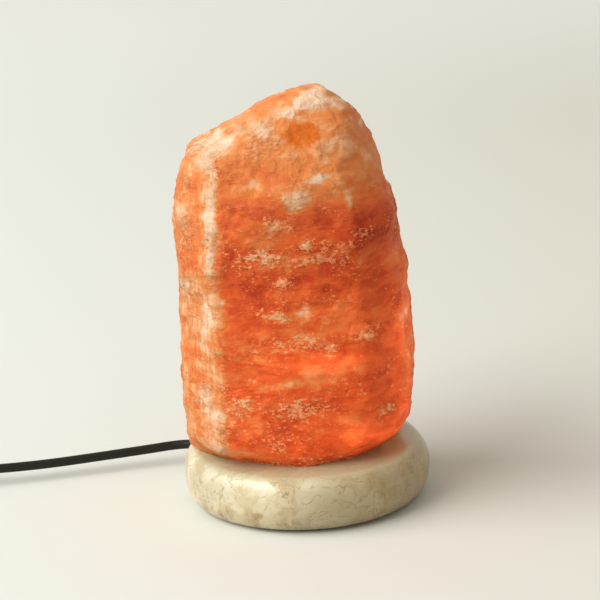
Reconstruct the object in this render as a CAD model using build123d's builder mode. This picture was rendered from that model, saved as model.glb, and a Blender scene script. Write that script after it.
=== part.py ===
# Salt crystal lamp: a hollowed block of rock salt standing loose on a round
# marble base, lit from inside by a small E14 bulb, with a switched mains cord.
# Millimetres, +Z up. The origin is on the table, under the middle of the base,
# and the lamp is seen from -Y. The cord leaves to the left and to the rear.
from build123d import *
from math import cos, pi, radians, sin, sqrt, tan
import os

import numpy as np

os.makedirs("parts", exist_ok=True)

# ---- clearances ------------------------------------------------------------
slip = 0.1  # between a part and the hole it slides into
close_slip = 0.05  # between a pin, rivet or grommet and its hole
proud = 0.3  # between loose curved parts that rest on each other

# ---- marble base -----------------------------------------------------------
base_radius = 62.0
base_thickness = 27.0
edge_reach = 8.5  # how far the bulging rim stands out from the flat faces
holder_hole_radius = 23.0
hole_edge = 1.0  # rounding of the hole's top edge
pad_thickness = 1.5
pad_radius = 7.0
pad_circle_radius = 40.0
pad_count = 4
first_pad_angle = 45.0

# ---- mains cord ------------------------------------------------------------
cord_radius = 2.4
cord_height = 10.5  # of the cord's axis where it leaves the base
cord_angle = 137.0  # where round the base it leaves, from +X
bush_wall = 1.6
bush_length = 14.0
bush_lip = 1.0
bush_lip_radius = 6.0

# ---- salt crystal ----------------------------------------------------------
crystal_bore_radius = 24.0
crystal_bore_depth = 62.0
crystal_bore_tip = 9.0  # height of the drilled cone above the straight bore
# Height above the base, then the reach to the left, right, front and back.
crystal_levels = [
    (0.0, -59.0, 45.5, -40.5, 42.0),
    (2.5, -59.8, 49.4, -43.0, 44.5),
    (7.5, -60.6, 51.0, -45.6, 46.5),
    (13.5, -61.1, 54.2, -47.4, 48.2),
    (23.5, -60.8, 55.4, -48.6, 49.4),
    (37.5, -60.1, 56.6, -49.0, 50.4),
    (49.5, -59.9, 58.6, -49.0, 50.7),
    (63.5, -59.7, 57.2, -48.8, 50.9),
    (77.5, -60.1, 55.6, -48.4, 50.7),
    (91.5, -60.2, 53.8, -47.6, 50.3),
    (104.5, -60.2, 51.0, -46.8, 49.8),
    (117.5, -59.2, 52.2, -45.6, 49.0),
    (126.5, -58.4, 50.4, -44.2, 47.9),
    (134.5, -57.8, 46.6, -42.4, 46.6),
    (141.5, -55.6, 44.6, -40.0, 45.2),
    (148.5, -52.0, 42.6, -36.6, 43.2),
    (153.5, -49.6, 39.8, -33.6, 41.0),
    (159.0, -38.8, 35.4, -29.4, 36.2),
    (163.7, -29.4, 33.4, -25.6, 32.4),
    (165.7, -21.2, 32.0, -22.6, 29.4),
    (170.5, -17.0, 28.4, -17.8, 25.4),
    (175.0, -9.4, 23.8, -13.2, 19.8),
    (178.5, 1.4, 16.8, -8.6, 14.2),
    (180.5, 7.6, 14.2, -4.6, 10.2),
    (181.5, 9.8, 13.2, -1.0, 7.0),
]
# Corners of the plan, as shares of the half width and of the half depth: first
# over the bevelled foot, then on the foot's own outline.
crystal_corners = [
    ((-1.00, 0.04), (-1.00, 0.06)),
    ((-0.96, -0.36), (-0.92, -0.20)),
    ((-0.66, -0.90), (-0.74, -0.46)),
    ((-0.30, -0.99), (-0.40, -0.76)),
    ((0.20, -1.00), (0.12, -1.00)),
    ((0.60, -0.91), (0.62, -0.67)),
    ((0.90, -0.54), (0.90, -0.22)),
    ((1.00, 0.02), (1.00, 0.12)),
    ((0.93, 0.48), (0.90, 0.50)),
    ((0.62, 0.90), (0.58, 0.86)),
    ((0.08, 1.00), (0.08, 1.00)),
    ((-0.48, 0.93), (-0.48, 0.88)),
    ((-0.88, 0.55), (-0.86, 0.52)),
]
crystal_bevel = 13.5  # height of the bevel round the foot
# Swells of the broken sides: how far in and out, waves round the plan, waves
# in 100 mm of height, and where the wave starts.
crystal_swells = [
    (0.8, 3, 1.3, 0.4),
    (0.5, 5, -2.1, 2.0),
]

# ---- lamp holder -----------------------------------------------------------
cap_bottom = 4.0  # above the table
cap_radius = 14.0
cap_wall = 2.0
cap_floor = 2.0
cap_height = 16.0
cap_ledge = 1.2  # width of the ledge that carries the terminal block
cap_collar_wall = 1.0
cap_collar_height = 3.5
block_thickness = 6.0
block_rise = 1.5  # of the terminal block above the cap's rim
gland_length = 5.0
gland_wall = 2.0
sleeve_height = 26.0
sleeve_taper = 0.6
sleeve_rim = 6.0  # height of the tapered top of the sleeve
boss_outer_radius = 11.4
thread_bore_radius = 7.05  # inside the threaded shell that takes an E14 cap
thread_wall = 0.4
thread_height = 21.5
flange_radius = 9.5
flange_thickness = 0.5
strip_thickness = 0.6  # of the two bent contacts
strip_width = 4.0
centre_leg = 5.2  # of the centre contact's leg from the axis
side_leg = 8.6  # of the side contact's leg from the axis
leaf_reach = 4.2  # of the centre contact's fold past the axis
leaf_end = 2.0
terminal_size = 4.4
terminal_height = 5.0
terminal_offset = 6.8
terminal_screw_radius = 1.2
terminal_screw_head = 1.8
terminal_head_height = 1.4
clamp_offset = 7.6
clamp_width = 3.0
clamp_length = 11.4
clamp_thickness = 1.4
clamp_post_offset = 4.4
clamp_post_radius = 1.6
clamp_screw_radius = 0.8
clamp_screw_head = 1.5
clamp_head_height = 1.0
sheath_end = 5.6  # where the cord's sheath ends inside the cap
core_radius = 0.75
core_offset = 1.0
core_bend = 1.05

# ---- spring clip -----------------------------------------------------------
clip_thickness = 0.6
clip_width = 10.0
clip_knee_height = 13.0  # of the arms' widest point above the clip's plate
clip_tip_height = 20.0
clip_tip_inset = 3.0
rivet_radius = 1.5
rivet_head_radius = 2.8
rivet_head = 1.0

# ---- bulb ------------------------------------------------------------------
bulb_seat = 2.5  # of the bulb's tip above the terminal block
bulb_tip_height = 1.2
bulb_tip_radius = 2.4
bulb_insulator_height = 3.6
bulb_cap_radius = 6.9
bulb_cap_wall = 0.3
bulb_cap_height = 18.0
bulb_thread_depth = 0.5
bulb_thread_count = 5
bulb_thread_pitch = 2.82
bulb_first_groove = 0.75  # of a pitch above the cap's lower end
glass_radius = 11.0
glass_wall = 0.8
glass_neck_radius = 6.0
glass_neck_sink = 1.0  # how far the neck sits down in the metal cap
glass_shoulder = 11.0
glass_body = 11.5
stem_radius = 1.8
stem_height = 14.0
lead_radius = 0.35
lead_spread = 5.5
lead_height = 9.0
filament_radius = 0.25
filament_rise = 3.0

# ---- inline switch ---------------------------------------------------------
switch_length = 60.0
switch_width = 25.0
switch_half_height = 9.7
switch_wall = 1.8
switch_end_width = 13.0
switch_shoulder = 15.0  # length over which each end widens
switch_edge = 1.5
window_length = 17.0
window_width = 10.4
rocker_gap = 0.35
rocker_tilt = 10.0  # each way from level
rocker_crest = 4.6  # of the rocker's ends above its pin
rocker_dip = 3.8  # of the rocker's middle above its pin
rocker_base = 2.0  # of the rocker's underside below its pin
pin_radius = 1.0
pin_drop = 3.4  # of the pin below the top face
saddle_width = 1.8
saddle_length = 5.0
saddle_depth = 4.0
boss_radius = 2.6
boss_offset = 17.0  # of each shell screw along the switch
boss_side = 6.8  # of each shell screw from the middle line
switch_screw_radius = 1.2
switch_screw_head = 2.1
switch_head_height = 1.4
blade_thickness = 0.8
blade_width = 5.0
blade_offset = 5.5  # of the end contact from the middle contact
bridge_thickness = 0.6
bridge_length = 13.0
bridge_width = 4.0
neutral_offset = 4.0  # of the unbroken core from the middle line
anchor_offset = 24.5
anchor_width = 3.0
anchor_length = 11.6
anchor_thickness = 1.6
anchor_side = 4.6
anchor_post_radius = 1.8
anchor_screw_radius = 0.9
anchor_screw_head = 1.6
anchor_head_height = 1.0
switch_sheath_end = 22.0  # of the cords' sheaths from the middle of the switch

# ---- plug ------------------------------------------------------------------
plug_width = 35.3
plug_thickness = 13.7
plug_length = 36.0
plug_rear_width = 15.0
plug_shoulder = 20.0
plug_edge = 2.0
plug_pin_radius = 2.0
plug_pin_core = 1.5
plug_pin_length = 19.0
plug_sleeve_length = 10.0
plug_sleeve_radius = 1.8
plug_pin_spacing = 18.0
plug_pin_root = 12.0
relief_length = 24.0
relief_wide = 5.2
relief_narrow = 3.3

# ---- places of the things on the cord --------------------------------------
switch_x = -227.0  # middle of the switch
switch_y = 31.3  # also the line of the cord there
coil_x = -257.4
coil_y = -21.0
coil_rest = 0.1  # of the lowest turns above the table
coil_inner_radius = 22.6
coil_turn_step = 6.2
coil_layer_step = 5.3
coil_layers = 4
coil_layer_turns = 2.0
coil_last_turns = 0.5
coil_climb_turns = 0.5
plug_x = -243.6  # tip of the strain relief
plug_y = -78.4

# ---- heights and directions worked out from the sizes above ----------------
base_bottom = pad_thickness
base_top = base_bottom + base_thickness
base_middle = base_bottom + base_thickness / 2
flat_radius = base_radius - edge_reach
cap_top = cap_bottom + cap_height
block_top = cap_top + block_rise
block_bottom = block_top - block_thickness
sleeve_top = cap_top + sleeve_height
cap_inside = cap_radius - cap_wall
exit_direction = Vector(cos(radians(cord_angle)), sin(radians(cord_angle)), 0)
side_direction = Vector(-exit_direction.Y, exit_direction.X, 0)
holder_plane = Plane(origin=(0, 0, 0), x_dir=exit_direction, z_dir=(0, 0, 1))
cord_plane = Plane(origin=(0, 0, cord_height), x_dir=side_direction, z_dir=exit_direction)
upright_plane = Plane(origin=(0, 0, 0), x_dir=side_direction, z_dir=exit_direction)
bush_radius = cord_radius + bush_wall
bush_face = base_radius + bush_lip
switch_cord_height = switch_half_height
switch_top = 2 * switch_half_height
plug_axis_height = plug_thickness / 2
coil_outer_radius = coil_inner_radius + coil_layer_turns * coil_turn_step
coil_floor = cord_radius + coil_rest
coil_last_radius = coil_inner_radius + coil_last_turns * coil_turn_step
coil_top_height = coil_floor + (coil_layers - 1) * coil_layer_step
end_straight = 2 * cord_radius


# ---- marble base, pads and bush --------------------------------------------
with BuildPart() as marble_base:
    with BuildSketch(Plane.XZ):
        with BuildLine():
            Line((holder_hole_radius, base_bottom), (flat_radius, base_bottom))
            EllipticalCenterArc(
                (flat_radius, base_middle), edge_reach, base_thickness / 2, -90, arc_size=180
            )
            Line((flat_radius, base_top), (holder_hole_radius + hole_edge, base_top))
            RadiusArc(
                (holder_hole_radius + hole_edge, base_top),
                (holder_hole_radius, base_top - hole_edge),
                hole_edge,
            )
            Line((holder_hole_radius, base_top - hole_edge), (holder_hole_radius, base_bottom))
        make_face()
    revolve(axis=Axis.Z)
    with BuildSketch(cord_plane):
        Circle(bush_radius + close_slip)
    extrude(amount=base_radius + edge_reach, mode=Mode.SUBTRACT)

with BuildPart() as felt_pads:
    with BuildSketch():
        with PolarLocations(pad_circle_radius, pad_count, start_angle=first_pad_angle):
            Circle(pad_radius)
    extrude(amount=pad_thickness)

with BuildPart() as cord_bush:
    with BuildSketch(cord_plane.offset(base_radius - bush_length)):
        Circle(bush_radius)
        Circle(cord_radius + close_slip, mode=Mode.SUBTRACT)
    extrude(amount=bush_length)
    with BuildSketch(cord_plane.offset(base_radius)):
        Circle(bush_lip_radius)
        Circle(cord_radius + close_slip, mode=Mode.SUBTRACT)
    extrude(amount=bush_lip)


# ---- salt crystal ----------------------------------------------------------
def crystal_outline(height, left, right, front, back):
    """Corners and side middles of the crystal's plan, moved in and out by the swells."""
    middle_x, half_width = (left + right) / 2, (right - left) / 2
    middle_y, half_depth = (front + back) / 2, (back - front) / 2
    over_foot = sin(pi / 2 * min(1, height / crystal_bevel))
    body, foot = (np.array(corners) for corners in zip(*crystal_corners))
    shares = body * over_foot + foot * (1 - over_foot)
    between = (shares + np.roll(shares, -1, axis=0)) / 2
    shares = np.stack([shares, between], axis=1).reshape(-1, 2)
    angles = np.arctan2(shares[:, 1], shares[:, 0])
    swell = sum(
        reach * np.sin(round_waves * angles + 2 * pi * up_waves * height / 100 + start)
        for reach, round_waves, up_waves, start in crystal_swells
    )
    swell *= min(1, height / crystal_bevel)
    return [
        (
            middle_x + across * half_width + out * cos(angle),
            middle_y + along * half_depth + out * sin(angle),
        )
        for (across, along), angle, out in zip(shares, angles, swell)
    ]


with BuildPart() as salt_crystal:
    for height, left, right, front, back in crystal_levels:
        with BuildSketch(Plane.XY.offset(base_top + height)):
            with BuildLine():
                Polyline(*crystal_outline(height, left, right, front, back), close=True)
            make_face()
    loft(ruled=True)
    with BuildSketch(Plane.XZ):
        with BuildLine():
            Polyline(
                (0, base_top),
                (crystal_bore_radius, base_top),
                (crystal_bore_radius, base_top + crystal_bore_depth),
                (0, base_top + crystal_bore_depth + crystal_bore_tip),
                close=True,
            )
        make_face()
    revolve(axis=Axis.Z, mode=Mode.SUBTRACT)


# ---- lamp holder -----------------------------------------------------------
ledge_radius = cap_inside - cap_ledge
collar_outer = cap_inside + cap_collar_wall
gland_radius = cord_radius + slip + gland_wall
clamp_bottom = cord_height + cord_radius + close_slip
clamp_posts = [(clamp_offset, side * clamp_post_offset) for side in (-1, 1)]
terminal_places = [(0, side * terminal_offset) for side in (-1, 1)]

with BuildPart() as holder_cap:
    with BuildSketch(Plane.XZ):
        with BuildLine():
            Polyline(
                (rivet_radius + close_slip, cap_bottom),
                (cap_radius, cap_bottom),
                (cap_radius, cap_top),
                (collar_outer, cap_top),
                (collar_outer, cap_top + cap_collar_height),
                (cap_inside, cap_top + cap_collar_height),
                (cap_inside, block_bottom),
                (ledge_radius, block_bottom),
                (ledge_radius, cap_bottom + cap_floor),
                (rivet_radius + close_slip, cap_bottom + cap_floor),
                close=True,
            )
        make_face()
    revolve(axis=Axis.Z)
    # gland that carries the cord through the wall
    with BuildSketch(cord_plane.offset(ledge_radius)):
        Circle(gland_radius)
    extrude(amount=cap_radius - ledge_radius + gland_length)
    # rest under the cord and two posts for the clamp's screws
    with BuildSketch(holder_plane.offset(cap_bottom + cap_floor)):
        with Locations((clamp_offset, 0)):
            Rectangle(clamp_width, 2 * clamp_post_offset)
    extrude(amount=cord_height - cord_radius - close_slip - cap_bottom - cap_floor)
    with BuildSketch(holder_plane.offset(cap_bottom + cap_floor)):
        with Locations(*clamp_posts):
            Circle(clamp_post_radius)
    extrude(amount=clamp_bottom - cap_bottom - cap_floor)
    with BuildSketch(holder_plane.offset(cap_bottom + cap_floor)):
        with Locations(*clamp_posts):
            Circle(clamp_screw_radius + close_slip)
    extrude(amount=clamp_bottom - cap_bottom - cap_floor, mode=Mode.SUBTRACT)
    # way for the cord
    with BuildSketch(cord_plane.offset(sheath_end)):
        Circle(cord_radius + slip)
    extrude(amount=cap_radius + gland_length, mode=Mode.SUBTRACT)

with BuildPart() as cord_clamp:
    with BuildSketch(holder_plane.offset(clamp_bottom)):
        with Locations((clamp_offset, 0)):
            Rectangle(clamp_width, clamp_length)
        with Locations(*clamp_posts):
            Circle(clamp_screw_radius + close_slip, mode=Mode.SUBTRACT)
    extrude(amount=clamp_thickness)

with BuildPart() as cord_clamp_screws:
    with BuildSketch(holder_plane.offset(cap_bottom + cap_floor + proud)):
        with Locations(*clamp_posts):
            Circle(clamp_screw_radius)
    extrude(amount=clamp_bottom + clamp_thickness - cap_bottom - cap_floor - proud)
    with BuildSketch(holder_plane.offset(clamp_bottom + clamp_thickness)):
        with Locations(*clamp_posts):
            Circle(clamp_screw_head)
    extrude(amount=clamp_head_height)

with BuildPart() as terminal_block:
    with BuildSketch(holder_plane.offset(block_bottom)):
        Circle(cap_inside - slip)
        with Locations((0, centre_leg), (0, -side_leg)):
            Rectangle(strip_width + 2 * slip, strip_thickness + 2 * slip, mode=Mode.SUBTRACT)
    extrude(amount=block_thickness)

with BuildPart() as holder_sleeve:
    with BuildSketch(Plane.XZ):
        with BuildLine():
            Polyline(
                (collar_outer + close_slip, cap_top),
                (cap_radius, cap_top),
                (cap_radius, sleeve_top - sleeve_rim),
                (cap_radius - sleeve_taper, sleeve_top),
                (thread_bore_radius + thread_wall + slip, sleeve_top),
                (thread_bore_radius + thread_wall + slip, block_top + flange_thickness),
                (boss_outer_radius, block_top + flange_thickness),
                (boss_outer_radius, cap_top + cap_collar_height + proud),
                (collar_outer + close_slip, cap_top + cap_collar_height + proud),
                close=True,
            )
        make_face()
    revolve(axis=Axis.Z)

with BuildPart() as threaded_shell:
    with BuildSketch(Plane.XY.offset(block_top)):
        Circle(thread_bore_radius + thread_wall)
        Circle(thread_bore_radius, mode=Mode.SUBTRACT)
    extrude(amount=thread_height)
    with BuildSketch(Plane.XY.offset(block_top)):
        Circle(flange_radius)
        Circle(thread_bore_radius, mode=Mode.SUBTRACT)
    extrude(amount=flange_thickness)

with BuildPart() as centre_contact:
    leaf_top = block_top + bulb_seat - slip
    fold = -leaf_reach
    with BuildSketch(upright_plane.offset(-strip_width / 2)):
        with BuildLine():
            Polyline(
                (centre_leg - strip_thickness / 2, block_bottom),
                (centre_leg + strip_thickness / 2, block_bottom),
                (centre_leg + strip_thickness / 2, block_top + strip_thickness),
                (fold + strip_thickness, block_top + strip_thickness),
                (fold + strip_thickness, leaf_top - 2 * strip_thickness),
                (0, leaf_top - strip_thickness),
                (leaf_end, leaf_top - strip_thickness),
                (leaf_end, leaf_top),
                (0, leaf_top),
                (fold, leaf_top - strip_thickness),
                (fold, block_top),
                (centre_leg - strip_thickness / 2, block_top),
                close=True,
            )
        make_face()
    extrude(amount=strip_width)
    with BuildSketch(holder_plane.offset(block_bottom - terminal_height)):
        with Locations((0, terminal_offset)):
            Rectangle(terminal_size, terminal_size)
    extrude(amount=terminal_height)
    with BuildSketch(holder_plane.offset(block_bottom - terminal_height)):
        with Locations((0, terminal_offset)):
            Circle(terminal_screw_radius + close_slip)
    extrude(amount=terminal_height - terminal_head_height, mode=Mode.SUBTRACT)

with BuildPart() as side_contact:
    with BuildSketch(holder_plane.offset(block_bottom)):
        with Locations((0, -side_leg)):
            Rectangle(strip_width, strip_thickness)
    extrude(amount=block_thickness)
    with BuildSketch(holder_plane.offset(block_bottom - terminal_height)):
        with Locations((0, -terminal_offset)):
            Rectangle(terminal_size, terminal_size)
    extrude(amount=terminal_height)
    with BuildSketch(holder_plane.offset(block_bottom - terminal_height)):
        with Locations((0, -terminal_offset)):
            Circle(terminal_screw_radius + close_slip)
    extrude(amount=terminal_height - terminal_head_height, mode=Mode.SUBTRACT)

with BuildPart() as terminal_screws:
    with BuildSketch(holder_plane.offset(block_bottom - terminal_height)):
        with Locations(*terminal_places):
            Circle(terminal_screw_radius)
    extrude(amount=terminal_height - terminal_head_height - proud)
    with BuildSketch(holder_plane.offset(block_bottom - terminal_height - terminal_head_height)):
        with Locations(*terminal_places):
            Circle(terminal_screw_head)
    extrude(amount=terminal_head_height)


# ---- spring clip that grips the hole in the base ---------------------------
clip_bottom = cap_bottom - clip_thickness
# the flat strip meets the round hole at its two long edges
clip_reach = sqrt((holder_hole_radius - close_slip) ** 2 - (clip_width / 2) ** 2)
clip_foot = cap_radius + proud + clip_thickness
clip_side = [
    (clip_foot, clip_bottom),
    (clip_reach, clip_bottom + clip_knee_height),
    (clip_reach - clip_tip_inset, clip_bottom + clip_tip_height),
]

with BuildPart() as spring_clip:
    with BuildSketch(upright_plane.offset(-clip_width / 2)):
        with BuildLine():
            Polyline(*[(-across, height) for across, height in clip_side[::-1]], *clip_side)
            offset(amount=clip_thickness, side=Side.LEFT)
        make_face()
    extrude(amount=clip_width)
    with BuildSketch(Plane.XY.offset(clip_bottom)):
        Circle(rivet_radius + close_slip)
    extrude(amount=clip_thickness, mode=Mode.SUBTRACT)

with BuildPart() as clip_rivet:
    with BuildSketch(Plane.XY.offset(clip_bottom - rivet_head)):
        Circle(rivet_head_radius)
    extrude(amount=rivet_head)
    with BuildSketch(Plane.XY.offset(clip_bottom)):
        Circle(rivet_radius)
    extrude(amount=clip_thickness + cap_floor)
    with BuildSketch(Plane.XY.offset(cap_bottom + cap_floor)):
        Circle(rivet_head_radius)
    extrude(amount=rivet_head)


# ---- bulb ------------------------------------------------------------------
bulb_bottom = block_top + bulb_seat
insulator_bottom = bulb_bottom + bulb_tip_height
bulb_cap_bottom = insulator_bottom + bulb_insulator_height
bulb_cap_top = bulb_cap_bottom + bulb_cap_height
bulb_cap_inside = bulb_cap_radius - bulb_thread_depth - bulb_cap_wall
glass_bottom = bulb_cap_top - glass_neck_sink
glass_side_bottom = bulb_cap_top + glass_shoulder
glass_side_top = glass_side_bottom + glass_body
glass_top = glass_side_top + glass_radius

with BuildPart() as bulb_tip:
    with BuildSketch(Plane.XY.offset(bulb_bottom)):
        Circle(bulb_tip_radius)
    extrude(amount=bulb_tip_height)
    fillet(bulb_tip.edges().sort_by(Axis.Z)[0], radius=bulb_tip_height / 2)

with BuildPart() as bulb_insulator:
    with BuildSketch(Plane.XZ):
        with BuildLine():
            Polyline(
                (0, insulator_bottom),
                (bulb_tip_radius + slip, insulator_bottom),
                (bulb_cap_radius - bulb_thread_depth, bulb_cap_bottom),
                (bulb_cap_inside - slip, bulb_cap_bottom),
                (bulb_cap_inside - slip, bulb_cap_bottom + bulb_tip_height),
                (0, bulb_cap_bottom + bulb_tip_height),
                close=True,
            )
        make_face()
    revolve(axis=Axis.Z)

with BuildPart() as bulb_cap:
    with BuildSketch(Plane.XZ):
        with BuildLine():
            Polyline(
                (bulb_cap_inside, bulb_cap_bottom),
                (bulb_cap_radius, bulb_cap_bottom),
                (bulb_cap_radius, bulb_cap_top),
                (bulb_cap_inside, bulb_cap_top),
                close=True,
            )
        make_face()
        for turn in range(bulb_thread_count):
            groove = bulb_cap_bottom + (turn + bulb_first_groove) * bulb_thread_pitch
            with Locations((bulb_cap_radius, groove)):
                Circle(bulb_thread_depth, mode=Mode.SUBTRACT)
    revolve(axis=Axis.Z)


def glass_outline(inset):
    """Half outline of the bulb's glass, drawn in by inset from its outer face."""
    neck = glass_neck_radius - inset
    side = glass_radius - inset
    Line((neck, glass_bottom), (neck, bulb_cap_top))
    Spline(
        (neck, bulb_cap_top),
        (side, glass_side_bottom),
        tangents=[(0, 1), (0, 1)],
    )
    Line((side, glass_side_bottom), (side, glass_side_top))
    RadiusArc((side, glass_side_top), (0, glass_top - inset), -side)


with BuildPart() as bulb_glass:
    with BuildSketch(Plane.XZ):
        with BuildLine():
            glass_outline(0)
            Line((0, glass_top), (0, glass_top - glass_wall))
            glass_outline(glass_wall)
            Line((glass_neck_radius - glass_wall, glass_bottom), (glass_neck_radius, glass_bottom))
        make_face()
    revolve(axis=Axis.Z)

stem_top = glass_bottom + stem_height
with BuildPart() as bulb_stem:
    with BuildSketch(Plane.XZ):
        with BuildLine():
            flare = glass_neck_radius - glass_wall - close_slip
            Polyline(
                (0, glass_bottom),
                (flare, glass_bottom),
                (flare, glass_bottom + glass_wall),
                (stem_radius, glass_bottom + flare),
                (stem_radius, stem_top),
                (0, stem_top),
                close=True,
            )
        make_face()
    revolve(axis=Axis.Z)

lead_top = stem_top + lead_height
with BuildPart() as bulb_leads:
    for side in (-1, 1):
        with BuildLine() as lead:
            FilletPolyline(
                (side * stem_radius / 2, 0, stem_top),
                (side * stem_radius / 2, 0, stem_top + lead_height / 4),
                (side * lead_spread, 0, lead_top - lead_height / 4),
                (side * lead_spread, 0, lead_top),
                radius=3 * lead_radius,
            )
        with BuildSketch(Plane.XY.offset(stem_top)):
            with Locations((side * stem_radius / 2, 0)):
                Circle(lead_radius)
        sweep(path=lead.line)

with BuildPart() as bulb_filament:
    filament_foot = lead_top + filament_radius + close_slip / 2
    with BuildLine() as hot_wire:
        ThreePointArc(
            (-lead_spread, 0, filament_foot),
            (0, 0, filament_foot + filament_rise),
            (lead_spread, 0, filament_foot),
        )
    with BuildSketch(Plane(origin=hot_wire.line @ 0, z_dir=hot_wire.line % 0)):
        Circle(filament_radius)
    sweep(path=hot_wire.line)


# ---- cord inside the lamp and its cores ------------------------------------
with BuildPart() as cord_in_base:
    with BuildSketch(cord_plane.offset(sheath_end)):
        Circle(cord_radius)
    extrude(amount=bush_face - sheath_end)


def core(*points, bend=0):
    """One insulated core of the cord, straight or along runs with rounded bends."""
    with BuildLine() as way:
        if bend:
            FilletPolyline(*points, radius=bend)
        else:
            Line(*points)
    with BuildSketch(Plane(origin=way.line @ 0, z_dir=way.line % 0)) as section:
        Circle(core_radius)
    sweep(sections=section.sketch, path=way.line)


core_turn = sheath_end - core_bend - core_radius
terminal_middle = block_bottom - terminal_height / 2
with BuildPart() as holder_cores:
    for side in (-1, 1):
        core(
            holder_plane.from_local_coords((sheath_end, side * core_offset, cord_height)),
            holder_plane.from_local_coords((core_turn, side * core_offset, cord_height)),
            holder_plane.from_local_coords((core_turn, side * terminal_offset, terminal_middle)),
            holder_plane.from_local_coords((terminal_size / 2, side * terminal_offset, terminal_middle)),
            bend=core_bend,
        )


# ---- inline switch ---------------------------------------------------------
switch_plane = Plane(origin=(switch_x, switch_y, 0))
boss_places = [(boss_offset, boss_side), (-boss_offset, -boss_side)]
anchor_places = [(end * anchor_offset, side * anchor_side) for end in (-1, 1) for side in (-1, 1)]
shell_floor = switch_wall
shell_ceiling = switch_top - switch_wall
pin_height = switch_top - pin_drop
anchor_bottom = switch_cord_height + cord_radius + close_slip


def switch_outline():
    """Plan of the switch: full width in the middle, narrower at both cords."""
    end, shoulder = switch_length / 2, switch_length / 2 - switch_shoulder
    with BuildLine() as outline:
        Polyline(
            (-end, -switch_end_width / 2),
            (-shoulder, -switch_width / 2),
            (shoulder, -switch_width / 2),
            (end, -switch_end_width / 2),
            (end, switch_end_width / 2),
            (shoulder, switch_width / 2),
            (-shoulder, switch_width / 2),
            (-end, switch_end_width / 2),
            close=True,
        )
    make_face(outline.line)
    fillet(vertices(), radius=switch_edge * 2)


def cord_ways():
    """Holes for the cords through both ends of the switch."""
    with BuildSketch(Plane(origin=(switch_x, switch_y, switch_cord_height), z_dir=(1, 0, 0))) as way:
        Circle(cord_radius + slip)
    extrude(way.sketch, amount=switch_length, both=True, mode=Mode.SUBTRACT)


with BuildPart() as switch_lower_shell:
    with BuildSketch(switch_plane):
        switch_outline()
    extrude(amount=switch_half_height)
    fillet(faces().sort_by(Axis.Z)[0].edges(), radius=switch_edge)
    with BuildSketch(switch_plane.offset(shell_floor)):
        switch_outline()
        offset(amount=-switch_wall, mode=Mode.REPLACE)
    extrude(amount=switch_half_height, mode=Mode.SUBTRACT)
    with BuildSketch(switch_plane.offset(shell_floor)):
        with Locations(*boss_places):
            Circle(boss_radius)
    extrude(amount=switch_half_height - shell_floor)
    with BuildSketch(switch_plane.offset(shell_floor)):
        with Locations(*anchor_places):
            Circle(anchor_post_radius)
    extrude(amount=anchor_bottom - shell_floor)
    with BuildSketch(switch_plane.offset(shell_floor)):
        with Locations(*anchor_places):
            Circle(anchor_screw_radius + close_slip)
    extrude(amount=anchor_bottom - shell_floor, mode=Mode.SUBTRACT)
    with BuildSketch(switch_plane):
        with Locations(*boss_places):
            Circle(switch_screw_radius + close_slip)
    extrude(amount=switch_half_height, mode=Mode.SUBTRACT)
    with BuildSketch(switch_plane):
        with Locations(*boss_places):
            Circle(switch_screw_head + close_slip)
    extrude(amount=switch_head_height + proud, mode=Mode.SUBTRACT)
    cord_ways()

with BuildPart() as switch_upper_shell:
    with BuildSketch(switch_plane.offset(switch_half_height)):
        switch_outline()
    extrude(amount=switch_half_height)
    fillet(faces().sort_by(Axis.Z)[-1].edges(), radius=switch_edge)
    with BuildSketch(switch_plane.offset(switch_half_height)):
        switch_outline()
        offset(amount=-switch_wall, mode=Mode.REPLACE)
    extrude(amount=switch_half_height - switch_wall, mode=Mode.SUBTRACT)
    with BuildSketch(switch_plane.offset(switch_half_height)):
        with Locations(*boss_places):
            Circle(boss_radius)
            Circle(switch_screw_radius + close_slip, mode=Mode.SUBTRACT)
    extrude(amount=shell_ceiling - switch_half_height)
    with BuildSketch(switch_plane.offset(shell_ceiling - saddle_depth)):
        for side in (-1, 1):
            with Locations((0, side * (window_width + saddle_width) / 2)):
                Rectangle(saddle_length, saddle_width)
    extrude(amount=saddle_depth)
    with BuildSketch(switch_plane.offset(shell_ceiling)):
        Rectangle(window_length, window_width)
    extrude(amount=switch_wall, mode=Mode.SUBTRACT)
    with BuildSketch(Plane(origin=(switch_x, switch_y, pin_height), z_dir=(0, 1, 0))):
        Circle(pin_radius + close_slip)
    extrude(amount=window_width / 2 + saddle_width, both=True, mode=Mode.SUBTRACT)
    cord_ways()

# The rocker is drawn level about its pin, then turned to the ON side.
rocker_radius = window_length / 2 - rocker_gap
rocker_half_width = window_width / 2 - rocker_gap
crest_reach = sqrt(rocker_radius**2 - rocker_crest**2)
base_reach = sqrt(rocker_radius**2 - rocker_base**2)
rocker_plane = Plane(
    origin=(switch_x, switch_y, pin_height),
    x_dir=(cos(radians(rocker_tilt)), 0, -sin(radians(rocker_tilt))),
    z_dir=(0, -1, 0),
)

with BuildPart() as switch_rocker:
    with BuildSketch(rocker_plane):
        with BuildLine():
            Polyline((-crest_reach, rocker_crest), (0, rocker_dip), (crest_reach, rocker_crest))
            ThreePointArc((crest_reach, rocker_crest), (rocker_radius, 0), (base_reach, -rocker_base))
            Line((base_reach, -rocker_base), (-base_reach, -rocker_base))
            ThreePointArc(
                (-base_reach, -rocker_base), (-rocker_radius, 0), (-crest_reach, rocker_crest)
            )
        make_face()
        Circle(pin_radius + close_slip, mode=Mode.SUBTRACT)
    extrude(amount=rocker_half_width, both=True)

with BuildPart() as rocker_bridge:
    with BuildSketch(rocker_plane):
        with Locations((0, -rocker_base - bridge_thickness / 2)):
            Rectangle(bridge_length, bridge_thickness)
    extrude(amount=bridge_width / 2, both=True)

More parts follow.
